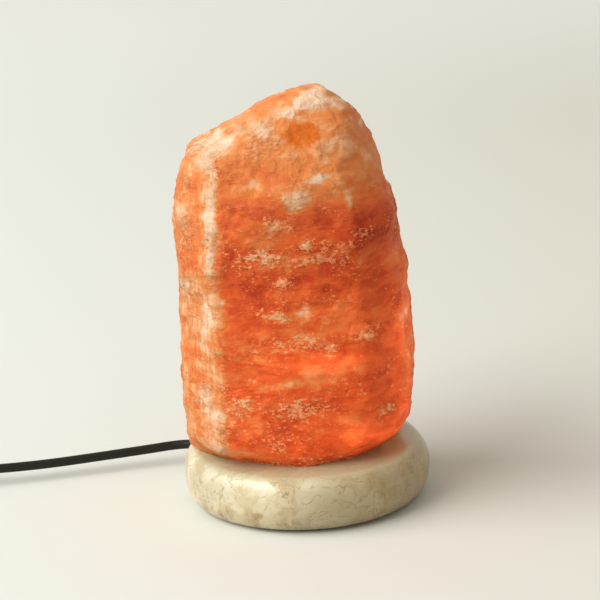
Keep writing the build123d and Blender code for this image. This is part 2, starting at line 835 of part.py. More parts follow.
with BuildPart() as rocker_pin:
    with BuildSketch(Plane(origin=(switch_x, switch_y, pin_height), z_dir=(0, 1, 0))):
        Circle(pin_radius)
    extrude(amount=window_width / 2 + saddle_width, both=True)

# height of the bridge's underside where it meets each contact, at rest
bridge_low = rocker_base + bridge_thickness
tilt = radians(rocker_tilt)
middle_contact_top = pin_height - bridge_low / cos(tilt) - close_slip
end_contact_top = middle_contact_top - (blade_offset + blade_thickness / 2) * tan(tilt)


def contact_blade(offset_x, top):
    """An upright contact that stands on the floor of the lower shell."""
    with BuildSketch(switch_plane.offset(shell_floor)) as blade:
        with Locations((offset_x, 0)):
            Rectangle(blade_thickness, blade_width)
    extrude(blade.sketch, amount=top - shell_floor)


with BuildPart() as middle_contact:
    contact_blade(0, middle_contact_top - blade_thickness / 2 * tan(tilt))

with BuildPart() as end_contact:
    contact_blade(blade_offset, end_contact_top)

with BuildPart() as switch_screws:
    with BuildSketch(switch_plane.offset(proud)):
        with Locations(*boss_places):
            Circle(switch_screw_head)
    extrude(amount=switch_head_height)
    with BuildSketch(switch_plane.offset(proud + switch_head_height)):
        with Locations(*boss_places):
            Circle(switch_screw_radius)
    extrude(amount=shell_ceiling - 2 * proud - switch_head_height)

with BuildPart() as cord_anchors:
    with BuildSketch(switch_plane.offset(anchor_bottom)):
        with Locations((-anchor_offset, 0), (anchor_offset, 0)):
            Rectangle(anchor_width, anchor_length)
        with Locations(*anchor_places):
            Circle(anchor_screw_radius + close_slip, mode=Mode.SUBTRACT)
    extrude(amount=anchor_thickness)

with BuildPart() as cord_anchor_screws:
    with BuildSketch(switch_plane.offset(shell_floor + proud)):
        with Locations(*anchor_places):
            Circle(anchor_screw_radius)
    extrude(amount=anchor_bottom + anchor_thickness - shell_floor - proud)
    with BuildSketch(switch_plane.offset(anchor_bottom + anchor_thickness)):
        with Locations(*anchor_places):
            Circle(anchor_screw_head)
    extrude(amount=anchor_head_height)


def in_switch(along, across):
    """A point on the level of the cord inside the switch."""
    return (switch_x + along, switch_y + across, switch_cord_height)


with BuildPart() as switch_cores:
    neutral_turn = switch_sheath_end - 4 * core_radius
    neutral_side = neutral_turn - neutral_offset
    core(
        in_switch(switch_sheath_end, core_offset),
        in_switch(blade_offset + blade_thickness / 2, core_offset),
    )
    core(
        in_switch(-switch_sheath_end, core_offset),
        in_switch(-blade_thickness / 2, core_offset),
    )
    core(
        in_switch(switch_sheath_end, -core_offset),
        in_switch(neutral_turn, -core_offset),
        in_switch(neutral_side, -neutral_offset),
        in_switch(-neutral_side, -neutral_offset),
        in_switch(-neutral_turn, -core_offset),
        in_switch(-switch_sheath_end, -core_offset),
        bend=2 * core_radius,
    )


# ---- plug ------------------------------------------------------------------
plug_plane = Plane(origin=(plug_x, plug_y, 0))
plug_rear = plug_x + relief_length
plug_face = plug_rear + plug_length


def on_pins(start, *radii):
    """Circles on the axes of both pins, any second radius cut away as a bore."""
    pin_plane = Plane(
        origin=(start, plug_y, plug_axis_height), x_dir=(0, 1, 0), z_dir=(1, 0, 0)
    )
    with BuildSketch(pin_plane) as circles:
        with PolarLocations(plug_pin_spacing / 2, 2):
            Circle(radii[0])
            for radius in radii[1:]:
                Circle(radius, mode=Mode.SUBTRACT)
    return circles.sketch


with BuildPart() as plug_body:
    with BuildSketch(plug_plane):
        with BuildLine():
            Polyline(
                (relief_length, -plug_rear_width / 2),
                (relief_length + plug_shoulder, -plug_width / 2),
                (relief_length + plug_length, -plug_width / 2),
                (relief_length + plug_length, plug_width / 2),
                (relief_length + plug_shoulder, plug_width / 2),
                (relief_length, plug_rear_width / 2),
                close=True,
            )
        make_face()
        fillet(vertices(), radius=2 * plug_edge)
    extrude(amount=plug_thickness)
    fillet(faces().filter_by(Axis.Z).edges(), radius=plug_edge)
    pin_holes = on_pins(plug_face - plug_pin_root, plug_pin_core + close_slip)
    extrude(pin_holes, amount=plug_pin_root, mode=Mode.SUBTRACT)

with BuildPart() as plug_relief:
    with BuildSketch(Plane(origin=(plug_x, plug_y, plug_axis_height), z_dir=(1, 0, 0))):
        Circle(relief_narrow)
    with BuildSketch(Plane(origin=(plug_rear, plug_y, plug_axis_height), z_dir=(1, 0, 0))):
        Circle(relief_wide)
    loft()

with BuildPart() as plug_pins:
    cores = on_pins(plug_face - plug_pin_root, plug_pin_core)
    extrude(cores, amount=plug_pin_root + plug_sleeve_length)
    tips = on_pins(plug_face + plug_sleeve_length, plug_pin_radius)
    extrude(tips, amount=plug_pin_length - plug_sleeve_length)
    fillet(
        plug_pins.edges().filter_by(GeomType.CIRCLE).group_by(Axis.X)[-1],
        radius=plug_pin_radius / 2,
    )

with BuildPart() as plug_pin_sleeves:
    rings = on_pins(plug_face, plug_sleeve_radius, plug_pin_core + close_slip)
    extrude(rings, amount=plug_sleeve_length)


# ---- free cord -------------------------------------------------------------
# Corners of the cord's routes. The tube runs straight between them and rounds
# each one with an arc as large as its two runs allow.
first_run = 9.0
arc_share = 0.45  # of the shorter run beside a corner that its arc may take
exit_point = exit_direction * bush_face + Vector(0, 0, cord_height)
lamp_to_switch = [
    exit_point,
    exit_point + exit_direction * first_run,
    (-60.9, 52.8, 10.2),
    (-69.9, 53.6, 9.6),
    (-82.1, 51.1, 9.0),
    (-105.6, 46.0, 8.3),
    (-138.0, 38.2, 7.8),
    (-170.0, 32.2, 8.6),
    (-190.0, switch_y, switch_cord_height),
    (switch_x + switch_sheath_end, switch_y, switch_cord_height),
]
coil_start_x = coil_x - coil_outer_radius
switch_to_coil = [
    (switch_x - switch_sheath_end, switch_y, switch_cord_height),
    (-271.8, switch_y, switch_cord_height),
    (-284.6, 23.6, 8.0),
    (-291.9, 10.8, 5.0),
    (coil_start_x, -3.0, coil_floor),
    (coil_start_x, coil_y + end_straight, coil_floor),
]
coil_end_x = coil_x - coil_last_radius
coil_to_plug = [
    (coil_end_x, coil_y - end_straight, coil_top_height),
    (coil_end_x, -40.6, coil_top_height),
    (-282.9, -55.0, 17.1),
    (-274.4, -69.7, 12.2),
    (-259.8, plug_y, plug_axis_height),
    (plug_x, plug_y, plug_axis_height),
]


def corner_radii(points):
    """The largest arc at each corner: its share of the shorter run over tan(half turn)."""
    ends = [Vector(point) for point in points]
    radii = []
    for before, corner, after in zip(ends, ends[1:], ends[2:]):
        run_in, run_out = corner - before, after - corner
        half_turn = radians(run_in.get_angle(run_out)) / 2
        radii.append(arc_share * min(run_in.length, run_out.length) / tan(half_turn))
    return radii


def cord_tube(name, points):
    """A free stretch of cord. Prints its bends and checks its volume."""
    radii = corner_radii(points)
    with BuildPart() as tube:
        with BuildLine() as way:
            FilletPolyline(*points, radius=radii)
        with BuildSketch(Plane(origin=way.line @ 0, z_dir=way.line % 0)):
            Circle(cord_radius)
        sweep(path=way.line)
    report_cord(name, tube.part.volume, way.wires()[0].length)
    print("  bend radii", " ".join(f"{radius:.1f}" for radius in radii))
    return tube


def report_cord(name, volume, length):
    share = volume / (pi * cord_radius**2 * length)
    print(f"{name}: length {length:.1f} mm, volume over section times length {share:.5f}")


cord_to_switch = cord_tube("cord_to_switch", lamp_to_switch)
cord_to_coil = cord_tube("cord_to_coil", switch_to_coil)
cord_to_plug = cord_tube("cord_to_plug", coil_to_plug)


# ---- coil of spare cord ----------------------------------------------------
coil_cycle = coil_layer_turns + coil_climb_turns
coil_turns = (coil_layers - 1) * coil_cycle + coil_last_turns


def coil_point(turns):
    """Centre of the cord after so many turns, wound in and out layer by layer.

    Each layer spirals at a steady rate, inwards on even layers and outwards on
    odd ones, and climbs to the next layer on the turn that follows it.
    """
    layer = min(int(turns / coil_cycle + 1e-9), coil_layers - 1)
    into_layer = turns - layer * coil_cycle
    wound = min(into_layer, coil_layer_turns) * coil_turn_step
    radius = coil_inner_radius + wound if layer % 2 else coil_outer_radius - wound
    climbed = max(0, into_layer - coil_layer_turns) / coil_climb_turns
    rise = layer + climbed**2 * (3 - 2 * climbed)
    angle = pi + 2 * pi * turns
    return Vector(
        coil_x + radius * cos(angle),
        coil_y + radius * sin(angle),
        coil_floor + rise * coil_layer_step,
    )


def biarc(start, start_way, end, end_way):
    """Two tangent arcs from one point and direction to another."""
    gap = end - start
    both_ways = gap.dot(start_way + end_way)
    spread = 1 - start_way.dot(end_way)
    reach = (sqrt(both_ways**2 + 2 * spread * gap.dot(gap)) - both_ways) / (2 * spread)
    first, last = start + start_way * reach, end - end_way * reach
    join = (first + last) * 0.5
    TangentArc(start, join, tangent=start_way)
    TangentArc(join, end, tangent=last - first)


coil_steps = round(4 * coil_turns)  # quarter turns
coil_nodes = [coil_point(step / 4) for step in range(coil_steps + 1)]
coil_ways = [
    (coil_point(step / 4 + 0.01) - coil_point(step / 4 - 0.01)).normalized()
    for step in range(coil_steps + 1)
]
coil_ways[0] = coil_ways[-1] = Vector(0, -1, 0)

with BuildPart() as cord_coil:
    with BuildLine() as coil_way:
        Line(coil_nodes[0] - coil_ways[0] * end_straight, coil_nodes[0])
        for step in range(coil_steps):
            biarc(coil_nodes[step], coil_ways[step], coil_nodes[step + 1], coil_ways[step + 1])
        Line(coil_nodes[-1], coil_nodes[-1] + coil_ways[-1] * end_straight)
    with BuildSketch(Plane(origin=coil_way.line @ 0, z_dir=coil_way.line % 0)):
        Circle(cord_radius)
    sweep(path=coil_way.line)

report_cord("cord_coil", cord_coil.part.volume, coil_way.wires()[0].length)
samples = 1200
spots = np.array([tuple(coil_way.line @ (step / samples)) for step in range(samples + 1)])
apart = np.linalg.norm(spots[:, None] - spots[None, :], axis=2)
steps_between = np.abs(np.subtract.outer(np.arange(samples + 1), np.arange(samples + 1)))
near_on_cord = steps_between * coil_way.wires()[0].length / samples < 8 * cord_radius
least_gap = np.where(near_on_cord, np.inf, apart).min() - 2 * cord_radius
print(f"  {coil_turns:g} turns, least gap to itself {least_gap:.2f} mm")


# ---- write every piece -----------------------------------------------------
pieces = {
    "marble_base": marble_base,
    "felt_pads": felt_pads,
    "cord_bush": cord_bush,
    "salt_crystal": salt_crystal,
    "holder_cap": holder_cap,
    "holder_sleeve": holder_sleeve,
    "terminal_block": terminal_block,
    "threaded_shell": threaded_shell,
    "centre_contact": centre_contact,
    "side_contact": side_contact,
    "terminal_screws": terminal_screws,
    "cord_clamp": cord_clamp,
    "cord_clamp_screws": cord_clamp_screws,
    "spring_clip": spring_clip,
    "clip_rivet": clip_rivet,
    "bulb_glass": bulb_glass,
    "bulb_cap": bulb_cap,
    "bulb_insulator": bulb_insulator,
    "bulb_tip": bulb_tip,
    "bulb_stem": bulb_stem,
    "bulb_leads": bulb_leads,
    "bulb_filament": bulb_filament,
    "cord_in_base": cord_in_base,
    "holder_cores": holder_cores,
    "cord_to_switch": cord_to_switch,
    "cord_to_coil": cord_to_coil,
    "cord_coil": cord_coil,
    "cord_to_plug": cord_to_plug,
    "switch_lower_shell": switch_lower_shell,
    "switch_upper_shell": switch_upper_shell,
    "switch_rocker": switch_rocker,
    "rocker_bridge": rocker_bridge,
    "rocker_pin": rocker_pin,
    "middle_contact": middle_contact,
    "end_contact": end_contact,
    "switch_cores": switch_cores,
    "switch_screws": switch_screws,
    "cord_anchors": cord_anchors,
    "cord_anchor_screws": cord_anchor_screws,
    "plug_body": plug_body,
    "plug_relief": plug_relief,
    "plug_pins": plug_pins,
    "plug_pin_sleeves": plug_pin_sleeves,
}
for name, piece in pieces.items():
    piece.part.label = name
    export_step(piece.part, f"parts/{name}.step")
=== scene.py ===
import math

import bpy
import numpy as np
from mathutils import Matrix, Vector


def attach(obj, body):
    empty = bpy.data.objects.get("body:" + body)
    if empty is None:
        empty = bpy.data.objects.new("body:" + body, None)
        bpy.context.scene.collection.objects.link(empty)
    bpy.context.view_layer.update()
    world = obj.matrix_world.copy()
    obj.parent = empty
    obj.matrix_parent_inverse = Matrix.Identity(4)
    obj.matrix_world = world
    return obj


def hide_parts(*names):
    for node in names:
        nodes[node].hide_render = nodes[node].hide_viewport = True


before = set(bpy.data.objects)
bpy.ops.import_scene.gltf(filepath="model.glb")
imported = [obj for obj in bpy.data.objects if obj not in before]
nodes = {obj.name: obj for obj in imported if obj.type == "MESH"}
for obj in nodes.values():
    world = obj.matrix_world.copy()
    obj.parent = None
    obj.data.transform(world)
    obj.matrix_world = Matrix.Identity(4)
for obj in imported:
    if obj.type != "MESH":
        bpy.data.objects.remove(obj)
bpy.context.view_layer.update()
mm = 0.001
print("salt lamp: frame loaded,", len(nodes), "nodes")


def addObject(name, data):
    thing = bpy.data.objects.new(name, data)
    bpy.context.scene.collection.objects.link(thing)
    return thing


# camera: level axes turned about the line of sight, the right-hand side of the picture up
cameraSettings = {
    "target": (0.00074, 0.0, 0.10191),
    "distance": 1.2,
    "elevation": 16.5,
    "roll": 2.81,
    "lens": 145.1,
}


def placeCamera(settings):
    lift, roll = math.radians(settings["elevation"]), math.radians(settings["roll"])
    forward = Vector((0, math.cos(lift), -math.sin(lift)))
    levelRight = Vector((1, 0, 0))
    levelUp = Vector((0, math.sin(lift), math.cos(lift)))
    right = levelRight * math.cos(roll) - levelUp * math.sin(roll)
    up = levelUp * math.cos(roll) + levelRight * math.sin(roll)
    data = bpy.data.cameras.new("photoCamera")
    data.lens = settings["lens"]
    data.sensor_width = 36
    data.clip_start, data.clip_end = 0.05, 20
    camera = addObject("photoCamera", data)
    place = Vector(settings["target"]) - forward * settings["distance"]
    camera.matrix_world = Matrix(
        (
            (right.x, up.x, -forward.x, place.x),
            (right.y, up.y, -forward.y, place.y),
            (right.z, up.z, -forward.z, place.z),
            (0, 0, 0, 1),
        )
    )
    bpy.context.scene.camera = camera


placeCamera(cameraSettings)
print("salt lamp: camera placed")


# the cord, in metres: control points of a smooth spline, straight out of the base's bush
cordSettings = {
    "radius": 0.0024,
    "exit": (-0.04608, 0.04297, 0.0105),
    "toSwitch": [
        (-0.04608, 0.04297, 0.0105),
        (-0.05266, 0.04911, 0.0105),
        (-0.0609, 0.0528, 0.0102),
        (-0.0699, 0.0536, 0.0096),
        (-0.0821, 0.0511, 0.0090),
        (-0.1056, 0.0460, 0.0083),
        (-0.1380, 0.0382, 0.0078),
        (-0.1700, 0.0322, 0.0086),
        (-0.1900, 0.0313, 0.0097),
        (-0.2050, 0.0313, 0.0097),
    ],
    "fromSwitch": [
        (-0.2490, 0.0313, 0.0097),
        (-0.2718, 0.0313, 0.0097),
        (-0.2846, 0.0236, 0.0080),
        (-0.2919, 0.0108, 0.0050),
        (-0.2924, -0.0030, 0.0025),
        (-0.2924, -0.0162, 0.0025),
    ],
    "toPlug": [
        (-0.2831, -0.0258, 0.0184),
        (-0.2831, -0.0406, 0.0184),
        (-0.2829, -0.0550, 0.0171),
        (-0.2744, -0.0697, 0.0122),
        (-0.2598, -0.0784, 0.00685),
        (-0.2436, -0.0784, 0.00685),
    ],
    "coilCentre": (-0.2574, -0.0210),
    "coilInner": 0.0226,
    "coilOuter": 0.0350,
    "coilStep": 0.0062,
    "coilFloor": 0.0025,
    "layerStep": 0.0053,
    "layers": 4,
    "layerTurns": 2.0,
    "climbTurns": 0.5,
    "lastTurns": 0.5,
    "pointsPerTurn": 16,
}


def coilPoints(s):
    # spirals inwards on even layers and outwards on odd ones at a steady rate, then eases up to the
    # next layer during the half turn after each
    cycle = s["layerTurns"] + s["climbTurns"]
    turns = (s["layers"] - 1) * cycle + s["lastTurns"]
    at = np.linspace(0, turns, round(turns * s["pointsPerTurn"]) + 1)
    layer = np.minimum(np.floor(at / cycle + 1e-9), s["layers"] - 1)
    into = at - layer * cycle
    wound = np.minimum(into, s["layerTurns"]) * s["coilStep"]
    radius = np.where(layer % 2 == 1, s["coilInner"] + wound, s["coilOuter"] - wound)
    climbed = np.clip(into - s["layerTurns"], 0, None) / s["climbTurns"]
    rise = layer + climbed**2 * (3 - 2 * climbed)
    angle = np.pi + 2 * np.pi * at
    x = s["coilCentre"][0] + radius * np.cos(angle)
    y = s["coilCentre"][1] + radius * np.sin(angle)
    z = s["coilFloor"] + rise * s["layerStep"]
    return [tuple(point) for point in np.stack([x, y, z], axis=1).tolist()]


def makeCord(name, points, radius):
    # a smooth curve drawn towards the points, carried on as a round tube with closed ends
    curve = bpy.data.curves.new(name, "CURVE")
    curve.dimensions = "3D"
    # the tube is the bevel times each point's own radius, which the curve's box is measured with too
    curve.bevel_depth = 1.0
    curve.bevel_resolution = 8
    curve.use_fill_caps = True
    spline = curve.splines.new("NURBS")
    spline.points.add(len(points) - 1)
    for point, place in zip(spline.points, points):
        point.co = (*place, 1)
        point.radius = radius
    spline.order_u = 3
    spline.use_endpoint_u = True
    spline.resolution_u = 5
    return addObject(name, curve)


switchCord = makeCord("mains_cord_lamp_to_switch", cordSettings["toSwitch"], cordSettings["radius"])
plugCord = makeCord(
    "mains_cord_switch_to_plug",
    cordSettings["fromSwitch"] + coilPoints(cordSettings) + cordSettings["toPlug"],
    cordSettings["radius"],
)
for cord, replaced in (
    (switchCord, ["cord_to_switch"]),
    (plugCord, ["cord_to_coil", "cord_coil", "cord_to_plug"]),
):
    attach(cord, "base")
    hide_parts(*replaced)
print("salt lamp: cords laid")


def latticeNoise(points, size, seed, cells=24):
    # random numbers on a cubic lattice, eased and blended between the eight corners round each point;
    # the lattice repeats after so many cells
    table = np.random.default_rng(seed).random((cells, cells, cells)) * 2 - 1
    scaled = points / np.asarray(size)
    cell = np.floor(scaled).astype(int)
    part = scaled - cell
    part = part * part * (3 - 2 * part)
    total = np.zeros(points.shape[:-1])
    for corner in np.ndindex(2, 2, 2):
        step = np.array(corner)
        weight = np.prod(np.where(step == 1, part, 1 - part), axis=-1)
        at = (cell + step) % cells
        total += weight * table[at[..., 0], at[..., 1], at[..., 2]]
    return total


def chips(points, size, seed, cells=16):
    # each point belongs to the nearest of scattered seeds; the height is that seed's tilted plane,
    # faded out where a second seed is as near, and the tone is one value for all of its points
    table = np.random.default_rng(seed).random((cells, cells, cells, 7))
    scaled = points / np.asarray(size)
    cell = np.floor(scaled).astype(int)
    nearest = np.full(points.shape[:-1], np.inf)
    second = np.full(points.shape[:-1], np.inf)
    height = np.zeros(points.shape[:-1])
    tone = np.zeros(points.shape[:-1])
    for corner in np.ndindex(3, 3, 3):
        at = cell + np.array(corner) - 1
        values = table[at[..., 0] % cells, at[..., 1] % cells, at[..., 2] % cells]
        offset = scaled - at - values[..., :3]
        distance = np.sqrt((offset**2).sum(axis=-1))
        tilt = values[..., 3:6] * 2 - 1
        own = values[..., 6] - 0.5
        plane = (tilt * offset).sum(axis=-1) + own * 0.6
        closer = distance < nearest
        second = np.where(closer, nearest, np.minimum(second, distance))
        height = np.where(closer, plane, height)
        tone = np.where(closer, own, tone)
        nearest = np.where(closer, distance, nearest)
    return height * np.clip((second - nearest) * 6, 0, 1), tone


def ease(low, high, values):
    # an s-curve from 0 at low to 1 at high
    part = np.clip((values - low) / (high - low), 0, 1)
    return part * part * (3 - 2 * part)


def spokes(angles):
    # a level arrow of length 1 for each angle
    return np.stack([np.cos(angles), np.sin(angles), np.zeros(len(angles))], axis=1)


def gridOf(x, y, z):
    # points from their three coordinates, each of which may be given for a row or a column only
    return np.stack(np.broadcast_arrays(x, y, z), axis=-1)


def gridNormals(points):
    # cross product of the two directions along the grid, the first of which closes on itself
    around = np.roll(points, -1, axis=0) - np.roll(points, 1, axis=0)
    along = np.gradient(points, axis=1)
    normal = np.cross(around, along)
    return normal / np.maximum(np.linalg.norm(normal, axis=2, keepdims=True), 1e-12)


def gridMesh(name, points, closeAlong=False, caps=()):
    # points[i, j]: i closes on itself, j runs along the profile; caps are two poles, or none
    rows, columns = points.shape[:2]
    spots = points.reshape(-1, 3)
    index = np.arange(rows * columns).reshape(rows, columns)
    nextRow = np.roll(index, -1, axis=0)
    quads = [index, nextRow, np.roll(nextRow, -1, axis=1), np.roll(index, -1, axis=1)]
    quads = np.stack(quads, axis=-1)[:, : columns if closeAlong else columns - 1].reshape(-1, 4)
    corners, starts, totals = [quads.ravel()], [np.arange(len(quads)) * 4], [np.full(len(quads), 4)]
    used = len(quads) * 4
    if len(caps):
        spots = np.vstack([spots, caps])
        first, last = len(spots) - 2, len(spots) - 1
        fans = np.vstack(
            [
                np.stack([index[:, 0], np.full(rows, first), nextRow[:, 0]], axis=1),
                np.stack([index[:, -1], nextRow[:, -1], np.full(rows, last)], axis=1),
            ]
        )
        corners.append(fans.ravel())
        starts.append(used + np.arange(len(fans)) * 3)
        totals.append(np.full(len(fans), 3))
    mesh = bpy.data.meshes.new(name)
    loops = np.concatenate(corners)
    mesh.vertices.add(len(spots))
    mesh.vertices.foreach_set("co", spots.astype(np.float32).ravel())
    mesh.loops.add(len(loops))
    mesh.loops.foreach_set("vertex_index", loops.astype(np.int32))
    allStarts = np.concatenate(starts).astype(np.int32)
    mesh.polygons.add(len(allStarts))
    mesh.polygons.foreach_set("loop_start", allStarts)
    mesh.polygons.foreach_set("loop_total", np.concatenate(totals).astype(np.int32))
    mesh.polygons.foreach_set("use_smooth", np.ones(len(allStarts), bool))
    mesh.update(calc_edges=True)
    mesh.validate()
    return addObject(name, mesh)


def paintAttribute(piece, name, values):
    attribute = piece.data.attributes.new(name, "FLOAT", "POINT")
    attribute.data.foreach_set("value", values.astype(np.float32))


# salt crystal, in millimetres
crystalSettings = {
    # the grid: columns round the plan, rows up the side, across the foot, up the bore and its cone
    "around": 450,
    "sideRows": 186,
    "footRows": 7,
    "boreRows": 20,
    "coneRows": 5,
    "baseTop": 28.5,
    "boreRadius": 24.0,
    "boreTop": 90.5,
    "tipTop": 99.5,
    # how sharp the plan's corners are: height above the base, then the power that blends its edges
    "sharpness": [(0.0, 30.0), (110.0, 42.0), (150.0, 20.0), (172.0, 11.0)],
    # height above the base, then the reach to the left, right, front and back
    "levels": [
        (0.0, -59.0, 45.5, -40.5, 42.0),
        (2.5, -59.8, 49.4, -43.0, 44.5),
        (7.5, -60.6, 51.0, -45.6, 46.5),
        (13.5, -61.1, 54.2, -47.4, 48.2),
        (23.5, -60.8, 55.4, -48.6, 49.4),
        (37.5, -60.1, 56.6, -49.0, 50.4),
        (49.5, -59.9, 58.6, -49.0, 50.7),
        (63.5, -59.7, 57.2, -48.8, 50.9),
        (77.5, -60.1, 55.6, -48.4, 50.7),
        (91.5, -60.2, 53.8, -47.6, 50.3),
        (104.5, -60.2, 51.0, -46.8, 49.8),
        (117.5, -59.2, 52.2, -45.6, 49.0),
        (126.5, -58.4, 50.4, -44.2, 47.9),
        (134.5, -57.8, 46.6, -42.4, 46.6),
        (141.5, -57.0, 45.4, -40.0, 45.2),
        (148.5, -54.6, 43.2, -36.6, 43.2),
        (153.5, -51.8, 41.0, -33.6, 41.0),
        (156.3, -43.4, 39.0, -31.6, 38.8),
        (159.0, -39.2, 37.0, -29.4, 36.2),
        (161.5, -37.6, 36.0, -27.6, 34.4),
        (163.7, -35.0, 35.6, -25.6, 32.4),
        (165.7, -27.0, 34.8, -22.6, 29.4),
        (168.0, -23.8, 32.6, -20.4, 27.6),
        (170.5, -22.8, 30.4, -17.8, 25.4),
        (172.5, -17.4, 28.0, -15.8, 23.4),
        (175.0, -11.0, 24.4, -13.2, 20.4),
        (177.0, -5.4, 20.6, -11.4, 17.6),
        (178.4, 0.4, 18.2, -9.0, 15.0),
        (179.4, 4.2, 16.8, -6.4, 12.0),
        (180.0, 6.6, 15.4, -2.6, 8.6),
        (180.2, 8.2, 14.0, 0.6, 5.0),
    ],
    # corners of the plan, as shares of the half width and depth: over the bevelled foot, then on
    # the foot's own outline
    "bodyCorners": [
        (-1.00, 0.04), (-0.96, -0.36), (-0.66, -0.90), (-0.30, -0.99), (0.20, -1.00),
        (0.60, -0.91), (0.90, -0.54), (1.00, 0.02), (0.93, 0.48), (0.62, 0.90),
        (0.08, 1.00), (-0.48, 0.93), (-0.88, 0.55),
    ],
    "footCorners": [
        (-1.00, 0.06), (-0.92, -0.20), (-0.74, -0.46), (-0.40, -0.76), (0.12, -1.00),
        (0.62, -0.67), (0.90, -0.22), (1.00, 0.12), (0.90, 0.50), (0.58, 0.86),
        (0.08, 1.00), (-0.48, 0.88), (-0.86, 0.52),
    ],
    "bevel": 13.5,
    # how far in and out, waves round the plan, waves in 100 mm of height, where the wave starts
    "swells": [(0.8, 3, 1.3, 0.4), (0.5, 5, -2.1, 2.0)],
    # how far the salt's beds drop in each millimetre to the right, and to the back
    "slant": (0.05, 0.04),
    # relief: its size across, along and up, how high it stands, and its seed
    "relief": {
        "faceBend": ((34, 34, 26), 2.0, 3),
        "broadFaces": ((30, 30, 24), 0.9, 11),
        "middleFaces": ((11, 11, 7), 0.78, 12),
        "smallFaces": ((4.6, 4.6, 3.2), 0.5, 13),
        "dents": ((14, 14, 12), 0.5, 14),
        "ledges": ((24, 24, 4.6), 0.18, 21),
        "slowWaves": ((15, 15, 9), 0.25, 22),
        "fineGrain": ((1.6, 1.6, 1.4), 0.26, 31),
        "coarseGrain": ((3.0, 3.0, 2.4), 0.26, 32),
    },
    "drillMarks": 0.22,
    "peakRise": 0.2,
}


def planRadius(angles, corners, sharpness):
    # distance to the corners' outline, an angle a row and a height a column: the edges' own distances
    # blended by each height's power, which rounds the corners more the lower it is
    ends = np.array(corners)
    edges = np.roll(ends, -1, axis=0) - ends
    normals = np.stack([edges[:, 1], -edges[:, 0]], axis=1)
    normals /= np.linalg.norm(normals, axis=1, keepdims=True)
    reach = (normals * ends).sum(axis=1)
    normals *= np.sign(reach)[:, None]
    reach = np.abs(reach)
    ways = np.stack([np.cos(angles), np.sin(angles)], axis=1)
    share = (np.clip(ways @ normals.T, 0, None) / reach)[:, None, :]
    return (share ** sharpness[:, None]).sum(axis=2) ** (-1 / sharpness)


def crystalPoints(s):
    # an outline round the plan, from the foot's corners to the body's over the bevel, stretched to
    # each height's four reaches, with slow swells in and out
    angles = np.linspace(0, 2 * np.pi, s["around"], endpoint=False)
    levels = np.array(s["levels"])
    halfWidth = (levels[:, 2] - levels[:, 1]) / 2
    sideLength = np.cumsum(np.hypot(np.diff(levels[:, 0]), np.diff(halfWidth)))
    sideLength = np.concatenate([[0], sideLength])
    heights = np.interp(np.linspace(0, sideLength[-1], s["sideRows"]), sideLength, levels[:, 0])
    # each reach is averaged over a little height, which shrinks to nothing at both ends
    fromEnd = np.minimum(heights, heights[-1] - heights)
    smooth = np.linspace(-1, 1, 5)[:, None] * np.clip(fromEnd / 2.5, 0, 2.4)
    left, right, front, back = (
        np.interp(heights + smooth, levels[:, 0], levels[:, column]).mean(axis=0)
        for column in (1, 2, 3, 4)
    )
    overFoot = np.sin(np.pi / 2 * np.clip(heights / s["bevel"], 0, 1))
    sharpness = np.interp(heights, *np.array(s["sharpness"]).T)
    body = planRadius(angles, s["bodyCorners"], sharpness)
    foot = planRadius(angles, s["footCorners"], sharpness)
    plan = body * overFoot + foot * (1 - overFoot)
    swell = sum(
        reach * np.sin(rounds * angles[:, None] + 2 * np.pi * ups * heights / 100 + first)
        for reach, rounds, ups, first in s["swells"]
    ) * np.clip(heights / s["bevel"], 0, 1)
    across = plan * (right - left) / 2 + swell
    along = plan * (back - front) / 2 + swell
    outside = gridOf(
        (left + right) / 2 + across * np.cos(angles)[:, None],
        (front + back) / 2 + along * np.sin(angles)[:, None],
        heights + s["baseTop"],
    )
    return angles, outside


